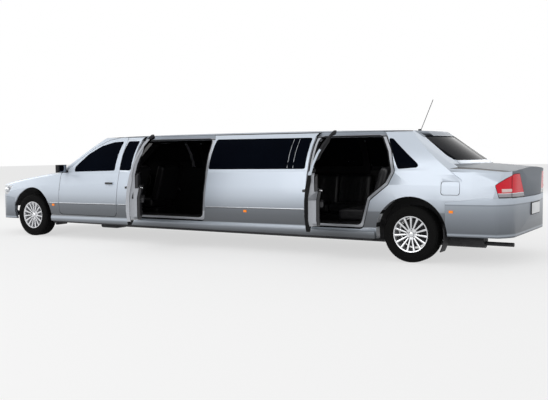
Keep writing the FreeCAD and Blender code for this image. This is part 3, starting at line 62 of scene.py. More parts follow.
# Driving sizes, read from the frame
tyre_low, tyre_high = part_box("front_left_tyre")
tyre_radius = tyre_high.z / 2
front_axle_x = (tyre_low.x + tyre_high.x) / 2
tyre_middle_y = (tyre_low.y + tyre_high.y) / 2
tyre_half = (tyre_high.y - tyre_low.y) / 2
rim_low, rim_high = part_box("front_left_rim")
rim_face_y = rim_high.y
bead_radius = (rim_high.z - rim_low.z) / 2
half_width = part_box("left_side_frame")[1].y
hinges = {joint["child"]: Vector(joint["pos_m"]) for joint in frame["joints"]}
wheel_axis = next(Vector(j["axis"]) for j in frame["joints"] if j["child"] == "steering_wheel")
open_turn = {"left_limo_door": math.radians(50), "left_rear_door": math.radians(62)}

# Heights and places that several pieces share
floor_z = 0.245
moulding_x = 2.51
moulding_z = 0.5135
moulding_rise = -0.00893
handle_low_z = 0.79
handle_high_z = 0.84
pillar_foot_z = 0.9
pillar_rear_x = -2.45
pillar_front_x = 1.60
taper_x = -3.05

# Section of the side: bowed up to the belt, then leaning in to the glass's middle and the roof rail
bulge_z = 0.59
bow = 0.36
belt_y, belt_z = 0.872, 0.968
glass_y, glass_z = 0.779, 1.222
rail_y, rail_z = 0.640, 1.412

# How far below the outer skin a frame's or door's faces lie
skin_depth = 0.012
step_depth = 0.014
frame_step_end = 0.043
door_step_end = 0.0385
lining_depth = 0.062

# Thin pieces and repeats
seal_thick = 0.0015
frame_seal_width = 0.014
door_seal_width = 0.010
door_trim_top_z = 1.0
door_trim_thick = 0.034
pane_bead = 0.0032
lamp_bead = 0.0028
joint_bead = 0.0022
rib_radius = 0.0065
shadow_line_radius = 0.0030
bead_spacing = 0.012
tread_pitches = 64
spoke_count = 15
bolt_count = 5
round_steps = 96


# Shader helpers

class Value:
    """A shader socket that takes part in ordinary expressions."""

    def __init__(self, finish, socket):
        self.finish = finish
        self.socket = socket

    def maths(self, operation, other, swap=False):
        pair = (other, self) if swap else (self, other)
        return self.finish.node("ShaderNodeMath", {"operation": operation}, dict(enumerate(pair)))

    def __radd__(self, other):
        return self.maths("ADD", other, True)

    def __sub__(self, other):
        return self.maths("SUBTRACT", other)

    def __mul__(self, other):
        return self.maths("MULTIPLY", other)

    def __rmul__(self, other):
        return self.maths("MULTIPLY", other, True)


class Nodes:
    """A node tree whose nodes all come from one method."""

    def __init__(self, tree):
        self.tree = tree

    def node(self, kind, settings, sockets, output=0):
        made = self.tree.nodes.new(kind)
        for key, value in settings.items():
            if key == "stops":
                ramp = made.color_ramp.elements
                while len(ramp) < len(value):
                    ramp.new(0.5)
                for stop, (place, shade) in zip(ramp, value):
                    stop.position = place
                    stop.color = (*shade, 1.0)
            else:
                setattr(made, key, value)
        for key, value in sockets.items():
            if isinstance(value, Value):
                self.tree.links.new(value.socket, made.inputs[key])
            else:
                made.inputs[key].default_value = value
        return Value(self, made.outputs[output])

    def seen_directly(self):
        """1 for rays that show the background: the camera's own and those by way of gloss or glass."""
        seen = self.node("ShaderNodeLightPath", {}, {}, "Is Camera Ray")
        for ray in ("Is Glossy Ray", "Is Transmission Ray"):
            seen = seen.maths("MAXIMUM", self.node("ShaderNodeLightPath", {}, {}, ray))
        return seen

    def mix_shaders(self, factor, first, second, end):
        """Feeds a mix of two shaders into the tree's end node."""
        mix = self.tree.nodes.new("ShaderNodeMixShader")
        self.tree.links.new(factor.socket, mix.inputs[0])
        self.tree.links.new(first.outputs[0], mix.inputs[1])
        self.tree.links.new(second.outputs[0], mix.inputs[2])
        self.tree.links.new(mix.outputs[0], self.tree.nodes[end].inputs["Surface"])


class Finish(Nodes):
    """A material: constants sit on the main shader, and node() adds anything that varies."""

    def __init__(self, name, color, roughness, metallic=0.0, **constants):
        self.material = bpy.data.materials.new(name)
        self.material.use_nodes = True
        super().__init__(self.material.node_tree)
        self.shader = self.tree.nodes["Principled BSDF"]
        self.color = color
        self.constant("Base Color", (*color, 1.0))
        self.constant("Roughness", roughness)
        self.constant("Metallic", metallic)
        for key, value in constants.items():
            socket = "Specular IOR Level" if key == "specular" else key.replace("_", " ").title()
            self.constant(socket, value)
        self.material.diffuse_color = (*color, 1.0)

    def constant(self, socket, value):
        self.shader.inputs[socket].default_value = value

    def place(self):
        return self.node("ShaderNodeTexCoord", {}, {}, "Object")

    def along(self, axis):
        return self.node("ShaderNodeSeparateXYZ", {}, {0: self.place()}, axis)

    def noise(self, scale, detail=2.0):
        sockets = {"Vector": self.place(), "Scale": scale, "Detail": detail}
        return self.node("ShaderNodeTexNoise", {}, sockets)

    def blend(self, factor, first, second):
        pair = [value if isinstance(value, Value) else (*value, 1.0) for value in (first, second)]
        return self.node("ShaderNodeMix", {"data_type": "RGBA"}, {0: factor, 6: pair[0], 7: pair[1]}, 2)

    def feed(self, socket, value):
        self.tree.links.new(value.socket, self.shader.inputs[socket])
        return self

    def bump(self, height, strength, distance):
        sockets = {"Height": height, "Strength": strength, "Distance": distance}
        return self.feed("Normal", self.node("ShaderNodeBump", {}, sockets))

    def grain(self, scale, low, high):
        return self.feed("Roughness", low + self.noise(scale) * (high - low))

    def mottle(self, scale, share):
        darker = tuple(channel * (1 - share) for channel in self.color)
        lighter = tuple(min(channel * (1 + share), 1.0) for channel in self.color)
        return self.feed("Base Color", self.blend(self.noise(scale, 3.0), darker, lighter))


# Finishes

# The paint's tones, each with its height as a share of paint_height. They are painted shade and highlights:
# darker towards the foot and below the moulding, with light bands where a ledge's top would catch the
# light, and much darker on the roof and boot lid than on the sides.
paint_height = 1.5
side_shade_and_highlights = ((0.13, 0.04), (0.17, 0.07), (0.197, 0.20), (0.212, 0.50), (0.226, 0.44), (0.232, 0.07),
              (0.30, 0.10), (0.350, 0.14), (0.358, 0.33), (0.40, 0.44), (0.45, 0.56), (0.53, 0.66),
              (0.90, 0.68))
bumper_shade_and_highlights = ((0.15, 0.06), (0.175, 0.09), (0.190, 0.16), (0.198, 0.50), (0.210, 0.14), (0.27, 0.20),
                (0.34, 0.28), (0.405, 0.38), (0.411, 0.20), (0.417, 0.60), (0.46, 0.66))
top_painted_shade = ((0.45, 0.17), (0.60, 0.22), (0.68, 0.20), (0.90, 0.30), (0.98, 0.46))
cool_tint = (0.89, 0.99, 1.12)
flake_scale = 1400.0
flake_color = (0.74, 0.78, 0.85)


def shaded_silver_paint(name, painted_tones, gloss=1.0):
    """Metallic paint under clear lacquer, with painted shade and highlights: its tone deepens below the
    moulding and steps with height along the given table.
    """
    finish = Finish(name, (0.58, 0.61, 0.66), 0.34, 0.20 * gloss, coat_weight=0.35 * gloss,
                    coat_roughness=0.05, specular=0.4 * gloss)
    stops = [(place, tuple(tone * tint for tint in cool_tint)) for place, tone in painted_tones]
    # Painted shade and highlights: the base colour is looked up by height, measured along the moulding's
    # slope.
    height = (finish.along(2) - moulding_rise * finish.along(0)) * (1 / paint_height)
    tone = finish.node("ShaderNodeValToRGB", {"stops": stops}, {"Fac": height})
    flake = finish.noise(flake_scale, 1.0)
    finish.feed("Base Color", finish.blend(flake * 0.10, tone, flake_color))
    return finish.grain(flake_scale, 0.30, 0.40).material


def plain(name, color, roughness, metallic=0.0, spread=0.08, scale=60.0, share=0.12, **constants):
    """A finish whose roughness and tone both wander a little."""
    finish = Finish(name, color, roughness, metallic, **constants)
    finish.mottle(scale, share)
    return finish.grain(scale * 1.7, max(roughness - spread, 0.01), roughness + spread)


def grained(name, color, roughness, scale, strength, depth, **constants):
    """A plain finish with a pressed grain."""
    finish = plain(name, color, roughness, 0.0, 0.08, scale / 6, 0.18, **constants)
    return finish.bump(finish.noise(scale, 4.0), strength, depth)


def ribbed_lens(name, color, glow, alpha, axis):
    """Moulded lens with fine flutes behind a glossy face."""
    finish = Finish(name, color, 0.14, coat_weight=0.25, alpha=alpha, emission_strength=glow,
                    emission_color=(*color, 1.0), specular=0.2)
    flutes = finish.node("ShaderNodeTexWave", {"bands_direction": axis},
                         {"Vector": finish.place(), "Scale": 22.0})
    finish.feed("Base Color", finish.blend(finish.noise(40.0) * 0.3, color, tuple(c * 0.6 for c in color)))
    return finish.bump(flutes, 0.25, 0.001).material


# Three copies of one silver, each with its own painted shade: the sides, the bumpers, and the darker roof
# and boot lid.
SHADED_SILVER = shaded_silver_paint("shaded_silver_paint", side_shade_and_highlights)
SHADED_BUMPER = shaded_silver_paint("shaded_silver_bumper_paint", bumper_shade_and_highlights, 0.3)
SHADED_TOP_PAINT = shaded_silver_paint("shaded_silver_top_paint", top_painted_shade, 0.04)
BRIGHT = plain("bright_strip", (0.66, 0.69, 0.73), 0.25, 0.5, coat_weight=0.6).material
JAMB = plain("jamb_paint", (0.50, 0.52, 0.56), 0.35, 0.3, coat_weight=0.5).material
PRIVACY = plain("privacy_glass", (0.002, 0.003, 0.006), 0.08, 0.0, 0.04, 3.0, 0.3, alpha=0.985,
                specular=0.004).material
SCREEN = plain("screen_glass", (0.008, 0.011, 0.013), 0.05, 0.0, 0.03, 3.0, 0.3, alpha=0.70,
               specular=0.15).material
RUBBER = grained("tyre_rubber", (0.009, 0.009, 0.009), 0.85, 320.0, 0.3, 0.001, specular=0.03).material
ALLOY = plain("bright_alloy", (0.74, 0.75, 0.77), 0.22, 0.75, 0.08, 50.0, 0.06, coat_weight=0.5).material
TRIM = grained("black_trim", (0.010, 0.010, 0.012), 0.55, 900.0, 0.2, 0.0005, specular=0.3).material
GLOSS_BLACK = plain("gloss_black", (0.012, 0.012, 0.014), 0.18, coat_weight=0.5).material
SEAL = grained("seal_rubber", (0.006, 0.006, 0.007), 0.75, 500.0, 0.15, 0.0004, specular=0.2).material
STEEL = plain("dull_steel", (0.30, 0.30, 0.31), 0.5, 0.8, 0.15, 25.0, 0.2).material
METAL = plain("dark_metal", (0.03, 0.03, 0.033), 0.65, 0.3, 0.15, 20.0, 0.3).material
SEALER = grained("underbody_sealer", (0.012, 0.012, 0.013), 0.85, 160.0, 0.5, 0.002).material
CHROME = plain("chrome", (0.80, 0.81, 0.83), 0.08, 1.0, 0.03, 30.0, 0.03).material
# The mirror face is a far darker metal than a real mirror: a painted dark reflection.
MIRROR = plain("mirror_face", (0.22, 0.24, 0.27), 0.03, 1.0, 0.01, 5.0, 0.02).material
PLATE = plain("blank_plate", (0.78, 0.80, 0.82), 0.35, 0.0, 0.06, 40.0, 0.03, coat_weight=0.3).material
RED = ribbed_lens("red_lens", (0.56, 0.004, 0.018), 0.30, 1.0, "Z")
LAMP_BAND = ribbed_lens("lamp_band", (0.42, 0.40, 0.43), 0.0, 1.0, "Z")
# The reflector's glow is painted light: it is no lamp.
REFLECTOR = ribbed_lens("lamp_reflector", (0.78, 0.62, 0.60), 0.10, 1.0, "X")
CLEAR = ribbed_lens("clear_lens", (0.70, 0.73, 0.77), 0.0, 0.35, "Y")
ORANGE = ribbed_lens("orange_lens", (0.93, 0.24, 0.015), 0.30, 1.0, "Z")
LEATHER = grained("black_leather", (0.022, 0.022, 0.025), 0.45, 420.0, 0.35, 0.0008,
                  coat_weight=0.15).material
CARPET = grained("dark_carpet", (0.010, 0.010, 0.012), 0.95, 900.0, 0.8, 0.003, specular=0.1).material
LINING = grained("dark_lining", (0.022, 0.022, 0.025), 0.9, 700.0, 0.4, 0.001, specular=0.1).material


# Mesh helpers

def finish_piece(name, bm, materials, body, smooth_deg=32.0, replaced=()):
    """Turns a bmesh into a finished piece that rides on a body of the frame."""
    mesh = bpy.data.meshes.new(name)
    bm.to_mesh(mesh)
    bm.free()
    materials = materials if isinstance(materials, (list, tuple)) else [materials]
    for material in materials:
        mesh.materials.append(material)
    for face in mesh.polygons:
        face.use_smooth = True
    mesh.set_sharp_from_angle(angle=math.radians(smooth_deg))
    obj = bpy.data.objects.new(name, mesh)
    bpy.context.scene.collection.objects.link(obj)
    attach(obj, body)
    if replaced:
        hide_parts(*replaced)
    return obj


def finish_panel(name, bm, materials, body):
    """Finishes a painted panel. Its large faces rule the shading, so that no facet shows beside them."""
    obj = finish_piece(name + "_panel", bm, materials, body, 30.0, (name,))
    obj.modifiers.new("shading", "WEIGHTED_NORMAL").keep_sharp = True


def bevel_edges(bm, edges, width, segments):
    bmesh.ops.bevel(bm, geom=edges, offset=width, segments=segments, affect="EDGES", profile=0.5,
                    material=-1)


def shift(bm, vector):
    bmesh.ops.translate(bm, vec=vector, verts=bm.verts)


def turn(bm, centre, angle, axis, verts=None):
    bmesh.ops.rotate(bm, cent=centre, matrix=Matrix.Rotation(angle, 3, axis), verts=verts or bm.verts)


def round_edges(obj, width):
    rounding = obj.modifiers.new("rounding", "BEVEL")
    rounding.width = width
    rounding.segments = 2
    rounding.limit_method = "ANGLE"


def node_mesh(name):
    """The merged mesh of a CAD node."""
    bm = bmesh.new()
    bm.from_mesh(nodes[name].data)
    bmesh.ops.remove_doubles(bm, verts=bm.verts, dist=0.00005)
    bmesh.ops.dissolve_limit(bm, angle_limit=math.radians(0.4), verts=bm.verts, edges=bm.edges)
    return bm


def block(bm, low, high, bevel=0.0, segments=2):
    """Adds a box between two corners, with its edges rounded."""
    made = bmesh.ops.create_cube(bm, size=1.0)["verts"]
    low, high = Vector(low), Vector(high)
    span = Vector((abs(c) for c in high - low))
    bmesh.ops.scale(bm, vec=span, verts=made)
    bmesh.ops.translate(bm, vec=(low + high) / 2, verts=made)
    if bevel:
        edges = dict.fromkeys(edge for vert in made for edge in vert.link_edges)
        bevel_edges(bm, list(edges), bevel, segments)
    return made


def lathe(bm, profile, centre, steps=round_steps, closed=True):
    """Spins (radius, y) points about the Y axis through the centre."""
    verts = [bm.verts.new(centre + Vector((0, y, radius))) for radius, y in profile]
    rim = zip(verts, verts[1:] + verts[:1]) if closed else zip(verts, verts[1:])
    edges = [bm.edges.new(ends) for ends in rim]
    bmesh.ops.spin(bm, geom=verts + edges, cent=centre, axis=Y_AXIS, angle=2 * math.pi, steps=steps,
                   use_merge=True)
    bmesh.ops.remove_doubles(bm, verts=bm.verts, dist=0.00001)


def face_out(bm):
    bmesh.ops.recalc_face_normals(bm, faces=bm.faces)


def mirror_side(bm, side):
    """Carries a piece made for the left over to the right."""
    if side == RIGHT:
        bmesh.ops.scale(bm, vec=(1, -1, 1), verts=bm.verts)
        bmesh.ops.reverse_faces(bm, faces=bm.faces)


def swing(bm, door, way=1):
    """Turns a shut door's pieces to where the door stands open, or back with way -1."""
    if door in open_turn:
        turn(bm, (*hinges[door].xy, 0), -open_turn[door] * way, "Z")


def tube(bm, points, radius, sides=8, closed=False, material=0):
    """Round bead along a run of points."""
    known = set(bm.faces)
    rings = []
    count = len(points)
    for i, point in enumerate(points):
        before = points[i - 1] if closed or i else points[i]
        after = points[(i + 1) % count] if closed or i < count - 1 else points[i]
        way = (after - before).normalized()
        across = way.to_track_quat("Z", "Y").to_matrix().to_4x4()
        ring = bmesh.ops.create_circle(bm, segments=sides, radius=radius,
                                       matrix=Matrix.Translation(point) @ across)
        rings.append(ring["verts"])
    pairs = list(zip(rings, rings[1:])) + ([(rings[-1], rings[0])] if closed else [])
    for a, b in pairs:
        edges = [bm.edges.get((r[i], r[i - 1])) for r in (a, b) for i in range(sides)]
        bmesh.ops.bridge_loops(bm, edges=edges)
    if not closed:
        for ring in (rings[0], rings[-1]):
            bmesh.ops.contextual_create(bm, geom=ring)
    made = [face for face in bm.faces if face not in known]
    bmesh.ops.recalc_face_normals(bm, faces=made)
    for face in made:
        face.material_index = material


def join(bm, other):
    """Moves everything in another bmesh into this one."""
    mesh = bpy.data.meshes.new("passing")
    other.to_mesh(mesh)
    other.free()
    bm.from_mesh(mesh)
    bpy.data.meshes.remove(mesh)


def face_forward(bm, spot):
    """Turns what was spun about the Y axis to lie along X, and sets it down at a spot."""
    turn(bm, ORIGIN, math.radians(-90), "Z")
    shift(bm, spot)
    face_out(bm)


def keep_faces(bm, keep):
    keep = set(keep)
    bmesh.ops.delete(bm, geom=[face for face in bm.faces if face not in keep], context="FACES")


def thicken(bm, push):
    """Gives an open sheet a thickness by pushing a copy of it along a vector."""
    made = bmesh.ops.extrude_face_region(bm, geom=bm.faces[:])
    moved = [item for item in made["geom"] if isinstance(item, bmesh.types.BMVert)]
    bmesh.ops.translate(bm, vec=push, verts=moved)
    face_out(bm)


def sheet_loops(bm):
    """Ordered runs of points round the open edges of a sheet."""
    edges = dict.fromkeys(edge for edge in bm.edges if len(edge.link_faces) == 1)
    loops = []
    while edges:
        edge, _ = edges.popitem()
        start, spot = edge.verts
        run = [start.co.copy(), spot.co.copy()]
        while spot != start:
            step = next((e for e in spot.link_edges if e in edges), None)
            if step is None:
                break
            del edges[step]
            spot = step.other_vert(spot)
            run.append(spot.co.copy())
        run.pop()
        loops.append(run)
    return loops


def thinned(run, least):
    """The run without points that crowd their neighbour."""
    kept = [run[0]]
    for point in run[1:]:
        if (point - kept[-1]).length > least:
            kept.append(point)
    if (kept[-1] - kept[0]).length < least:
        kept.pop()
    return kept


def edge_beads(sheet, radius):
    """Round beads along the open edges of a sheet, which is used up."""
    beads = bmesh.new()
    for run in sheet_loops(sheet):
        run = thinned(run, bead_spacing)
        if len(run) > 3:
            tube(beads, run, radius, 6, closed=True)
    sheet.free()
    return beads


class Skin:
    """A shut node's surface, for laying thin pieces on it."""

    def __init__(self, name):
        bm = node_mesh(name)
        swing(bm, name, -1)
        self.tree = BVHTree.FromBMesh(bm)
        bm.free()

    def hit(self, start, way):
        return self.tree.ray_cast(Vector(start), Vector(way))[0]

    def beside(self, x, z, side):
        return self.hit((x, side * (half_width + 0.5), z), (0, -side, 0))


def skin_y(z):
    """Half width of the shut car at a height, near enough to tell outer from inner faces."""
    if z < belt_z:
        return half_width - bow * (z - bulge_z) ** 2
    if z < glass_z:
        return belt_y - (z - belt_z) / (glass_z - belt_z) * (belt_y - glass_y)
    return glass_y - (z - glass_z) / (rail_z - glass_z) * (glass_y - rail_y)


def depth_of(face):
    """How far a face of a shut piece lies below the outer skin."""
    centre = face.calc_center_median()
    return skin_y(centre.z) - abs(centre.y)


# Body panels

plain_panels = {"roof": "car", "bonnet": "bonnet", "boot_lid": "boot_lid", "fuel_flap": "fuel_flap",
                "fenders": "car", "front_bumper": "car", "rear_bumper": "car"}
boot_end_x = -4.0


def paint_panels():
    for name, body in plain_panels.items():
        paint_plain_panel(name, body)
    for side, word in SIDES:
        paint_side_frame(side, word + "_side_frame")
        build_frame_seal(side, word)
        for kind in DOOR_KINDS:
            paint_door(side, word + "_" + kind)


def paint_plain_panel(name, body):
    """Paint, with dark lining under the roof and on the boot lid's inner end. Slots: paint, lining."""
    bm = node_mesh(name)
    for face in bm.faces:
        if name == "roof" and face.normal.z < -0.5:
            face.material_index = 1
        elif name == "boot_lid" and face.normal.x > 0.7 and face.calc_center_median().x < boot_end_x:
            face.material_index = 1
    # Bumpers, roof and boot lid take their own copies of the silver, each with its own painted shade; the
    # roof and boot lid are painted much darker than the sides.
    paint = SHADED_BUMPER if "bumper" in name else SHADED_TOP_PAINT if name in ("roof", "boot_lid") else SHADED_SILVER
    finish_panel(name, bm, [paint, LINING], body)


def paint_side_frame(side, name):
    """Paint outside, lining inside, and the doorways' steps between. Slots: paint, lining, jamb, seal."""
    bm = node_mesh(name)
    for face in bm.faces:
        depth = depth_of(face)
        if on_taper(face, side):
            continue
        if depth > lining_depth and face.normal.z > -0.9:
            face.material_index = 1
        elif abs(face.normal.y) < 0.5 and step_depth < depth < frame_step_end:
            face.material_index = 3
        elif depth > skin_depth:
            face.material_index = 2
    finish_panel(name, bm, [SHADED_SILVER, TRIM, JAMB, SEAL], "car")


def on_taper(face, side):
    """Outer faces beside the screens and behind the rear door, where the car narrows."""
    centre = face.calc_center_median()
    above = centre.z > pillar_foot_z
    rear_facing = above and centre.x < pillar_rear_x and face.normal.x < -0.2
    front_facing = above and centre.x > pillar_front_x and face.normal.x > 0.2
    return rear_facing or front_facing or centre.x < taper_x and side * face.normal.y > 0.15


def flat_faces(bm, way, band, least):
    """Faces that look along Y one way, lie in a band of depths and aren't slivers."""
    return [face for face in bm.faces if way * face.normal.y > 0.6
            and band[0] < depth_of(face) < band[1] and face.calc_area() > least]


def build_frame_seal(side, word):
    """Rubber along both edges of each doorway's step."""
    bm = node_mesh(word + "_side_frame")
    keep_faces(bm, [face for face in flat_faces(bm, side, (0.018, 0.058), 0.0006)
                    if face.calc_center_median().x > taper_x])
    keep_faces(bm, rim_faces(bm, frame_seal_width))
    thicken(bm, (0, side * seal_thick, 0))
    finish_piece(word + "_doorway_seals", bm, SEAL, "car")


def rim_faces(bm, width):
    """Cuts a rim of even width along a sheet's edges and gives its faces."""
    return bmesh.ops.inset_region(bm, faces=bm.faces[:], thickness=width, use_even_offset=True,
                                  use_boundary=True)["faces"]


def paint_door(side, name):
    """Slots: paint, lining, jamb, handle, seal."""
    bm = node_mesh(name)
    swing(bm, name, -1)
    for face in bm.faces:
        centre = face.calc_center_median()
        depth = depth_of(face)
        inward = -side * face.normal.y
        lining_foot_z = pillar_foot_z if inward > 0.6 else door_trim_top_z
        if depth > skin_depth and centre.z > lining_foot_z:
            face.material_index = 1
        elif step_depth < depth < door_step_end and abs(face.normal.y) < 0.5:
            face.material_index = 4
        elif depth > skin_depth:
            face.material_index = 2
        elif depth < -0.006 and handle_low_z < centre.z < handle_high_z:
            face.material_index = 3
    swing(bm, name)
    finish_panel(name, bm, [SHADED_SILVER, TRIM, JAMB, GLOSS_BLACK, SEAL], name)


# Door trims, seals and latches

armrest_spans = {"front_door": (1.55, 2.15), "limo_door": (0.05, 0.75), "rear_door": (-2.30, -1.90)}


def build_doors():
    for side, word in SIDES:
        for kind in DOOR_KINDS:
            name = word + "_" + kind
            build_door_trim(side, name)
            build_door_seal(side, name)
            build_door_fittings(side, kind, name)


def build_door_trim(side, name):
    """Padded card on the inner face, which the front doors don't have."""
    bm = node_mesh(name)
    swing(bm, name, -1)
    keep_faces(bm, [face for face in bm.faces
                    if -side * face.normal.y > 0.7 and depth_of(face) > 0.060 and face.calc_area() > 0.0005
                    and face.calc_center_median().z < door_trim_top_z])
    if not bm.faces:
        bm.free()
        return
    shift(bm, (0, -side * seal_thick, 0))
    thicken(bm, (0, -side * door_trim_thick, 0))
    swing(bm, name)
    round_edges(finish_piece(name + "_trim", bm, LEATHER, name), 0.008)


def build_door_seal(side, name):
    """Rubber strip on the inner face of a door's rim."""
    bm = node_mesh(name)
    swing(bm, name, -1)
    keep_faces(bm, flat_faces(bm, -side, (0.02, 0.05), 0.0005))
    bmesh.ops.delete(bm, geom=rim_faces(bm, door_seal_width), context="FACES")
    thicken(bm, (0, -side * seal_thick, 0))
    swing(bm, name)
    finish_piece(name + "_seal", bm, SEAL, name)


def build_door_fittings(side, kind, name):
    """Latch on the shutting edge, pull and armrest on the trim."""
    skin = Skin(name)
    if kind != "rear_door":
        build_latch(skin, side, kind, name)
    if side == LEFT or kind == "front_door":
        build_armrest(skin, side, kind, name)


def build_latch(skin, side, kind, name):
    """Thin plate with a raised claw."""
    rear_x = {"front_door": 1.25, "limo_door": -0.30}[kind]
    spot = skin.hit((rear_x, side * 0.845, 0.72), X_AXIS)
    if spot is None:
        return
    x, y = spot.x, spot.y
    bm = bmesh.new()
    block(bm, (x - 0.0006, y - 0.010, 0.675), (x + 0.01, y + 0.010, 0.765), 0.0003)
    block(bm, (x - 0.0012, y - 0.005, 0.705), (x - 0.0004, y + 0.006, 0.728), 0.0002)
    swing(bm, name)
    finish_piece(name + "_latch", bm, METAL, name)


def build_armrest(skin, side, kind, name):
    """Padded rest with a bright pull above it."""
    low_x, high_x = armrest_spans[kind]
    wall = skin.hit((low_x + 0.2, 0.0, 0.62), (0, side, 0))
    if wall is None:
        return
    inner = wall.y - side * door_trim_thick
    bm = bmesh.new()
    block(bm, (low_x, inner - side * 0.045, 0.615), (high_x, inner + side * 0.01, 0.675), 0.014, 4)
    pull = ((0.05, 0.0, 0.80), (0.06, 0.028, 0.795), (0.14, 0.032, 0.79), (0.16, 0.0, 0.785))
    tube(bm, [Vector((low_x + along, inner - side * out, z)) for along, out, z in pull], 0.007, material=1)
    swing(bm, name)
    finish_piece(name + "_armrest", bm, [LEATHER, CHROME], name)


# Strips on the body

def strip_runs(name, x_from, x_to, height_at, side):
    """Runs of points where a line at a height crosses the outer skin of a shut node."""
    skin = Skin(name)
    step = 0.01
    runs = [[]]
    for i in range(int((x_to - x_from) / step) + 1):
        x = x_from + i * step
        z = height_at(x)
        spot = skin.beside(x, z, side)
        if spot and abs(abs(spot.y) - skin_y(z)) < 0.02:
            runs[-1].append(spot)
        elif runs[-1]:
            runs.append([])
    return [run[::8] + [run[-1]] for run in runs if len(run) > 12]


def moulding_height(x):
    return moulding_z + (x - moulding_x) * moulding_rise


def build_mouldings():
    """Bright rib along the side with a gloss black bead under it as a painted shadow, broken at each panel
    gap.
    """
    for side, word in SIDES:
        spans = {"fenders": (2.44, 2.62, "car"), word + "_side_frame": (-2.62, 1.30, "car")}
        for kind in DOOR_KINDS:
            spans[word + "_" + kind] = (-2.80, 2.43, word + "_" + kind)
        for name, (x_from, x_to, body) in spans.items():
            bm = bmesh.new()
            for run in strip_runs(name, x_from, x_to, moulding_height, side):
                run = thinned(run, 0.02)
                rib = [point - Y_AXIS * side * 0.0025 for point in run]
                # The black bead under the rib is a painted shadow of the crease, not a groove.
                groove = [point + Vector((0, -side * 0.001, -0.0085)) for point in run]
                tube(bm, rib, rib_radius)
                tube(bm, groove, shadow_line_radius, material=1)
            if bm.verts:
                swing(bm, name)
                finish_piece(name + "_" + word + "_rib", bm, [BRIGHT, GLOSS_BLACK], body)
            else:
                bm.free()


def build_sill_strips():
    """Black rubber under the skirt, with the bays and flaps that hang behind it."""
    for side, word in SIDES:
        bm = bmesh.new()
        block(bm, (-2.56, 0.862, 0.228), (2.56, 0.912, 0.247), 0.006)
        block(bm, (1.40, 0.58, 0.172), (1.72, 0.80, 0.236), 0.030, 4)
        block(bm, (2.49, 0.70, 0.185), (2.53, 0.90, 0.300), 0.010)
        build_liner(bm)
        mirror_side(bm, side)
        finish_piece(word + "_sill_rubber", bm, TRIM, "car")


def build_liner(bm):
    """Curved splash guard behind the rear wheel."""
    centre = Vector((-front_axle_x, 0, tyre_radius))
    corners = [bm.verts.new(centre + Vector((-radius, y, 0.0)))
               for radius, y in ((0.372, 0.74), (0.384, 0.74), (0.384, 0.89), (0.372, 0.89))]
    edges = [bm.edges.new((corners[i - 1], corners[i])) for i in range(4)]
    turn(bm, centre, math.radians(12), "Y", corners)
    first = bmesh.ops.contextual_create(bm, geom=corners)["faces"]
    bmesh.ops.spin(bm, geom=first + edges + corners, cent=centre, axis=Y_AXIS, angle=math.radians(-40),
                   steps=10)
    face_out(bm)


def build_radiator():
    """Dark radiator behind the openings of the front bumper and grille."""
    bm = bmesh.new()
    block(bm, (3.50, -0.50, 0.27), (3.54, 0.50, 0.66), 0.006)
    block(bm, (3.50, -0.50, 0.258), (3.88, 0.50, 0.270), 0.003)
    finish_piece("radiator", bm, METAL, "car")


# Wheels

def build_wheels():
    for corner in CORNERS:
        side = LEFT if corner.endswith("left") else RIGHT
        x = front_axle_x if corner.startswith("front") else -front_axle_x
        centre = Vector((x, 0, tyre_radius))
        build_tyre(corner, side, centre)
        build_rim(corner, side, centre)


def build_tyre(corner, side, centre):
    """Tyre with rounded walls and five ribs of tread blocks."""
    bm = bmesh.new()
    y, half, base = tyre_middle_y, tyre_half, tyre_radius - 0.008
    pitch = 2 * math.pi / tread_pitches
    length = pitch * tyre_radius * 0.84
    for low, high in ((-0.80, -0.52), (-0.46, -0.16), (-0.10, 0.10), (0.16, 0.46), (0.52, 0.80)):
        made = block(bm, (centre.x - length / 2, y + low * half, centre.z + base - 0.004),
                     (centre.x + length / 2, y + high * half, centre.z + tyre_radius - 0.0006))
        for vert in made:
            if vert.co.z > centre.z + base and abs(vert.co.y - y) > 0.7 * half:
                vert.co.z -= 0.004
        turn(bm, centre, pitch * (low + high) * 0.4, "Y", made)
    repeat_round(bm, centre, tread_pitches)
    bead = bead_radius
    wall = [(bead - 0.004, 0.84), (bead + 0.006, 0.90), (bead + 0.014, 0.935), (bead + 0.017, 0.92),
            (bead + 0.021, 0.945), (bead + 0.045, 0.985), (bead + 0.060, 0.992), (bead + 0.062, 0.980),
            (bead + 0.066, 0.990), (tyre_radius - 0.022, 0.93), (tyre_radius - 0.013, 0.87), (base, 0.78)]
    outer = [(radius, y + share * half) for radius, share in wall]
    inner = [(radius, y - share * half) for radius, share in reversed(wall)]
    lathe(bm, outer + inner, centre)
    face_out(bm)
    mirror_side(bm, side)
    finish_piece(corner + "_tread_tyre", bm, RUBBER, corner + "_wheel", 40.0, (corner + "_tyre",))


def repeat_round(bm, centre, count):
    """Copies all that is there round the axle."""
    geometry = bm.verts[:] + bm.edges[:] + bm.faces[:]
    bmesh.ops.spin(bm, geom=geometry, cent=centre, axis=Y_AXIS, angle=2 * math.pi * (1 - 1 / count),
                   steps=count - 1, use_duplicate=True)


# Half sections of the rim. The barrel's points are measured inwards from the bead seat and back from the
# rim's face, and the hub's points by radius and back from the face.
hub_radius = 0.064
barrel_section = ((0.0, 0.002), (0.004, 0.0), (0.014, 0.002), (0.019, 0.012), (0.024, 0.05), (0.034, 0.12),
                  (0.024, 0.176), (0.004, 0.186), (0.006, 0.17), (0.016, 0.12), (0.008, 0.04),
                  (0.002, 0.016))
bolt_section = ((0.0, 0.018), (0.006, 0.018), (0.0075, 0.020), (0.0075, 0.034))
bolt_circle = 0.048
hub_section = ((0.0, 0.010), (0.020, 0.011), (0.028, 0.016), (0.031, 0.026), (0.036, 0.030), (0.056, 0.028),
               (hub_radius, 0.034), (hub_radius + 0.004, 0.05), (hub_radius, 0.108), (0.0, 0.108))


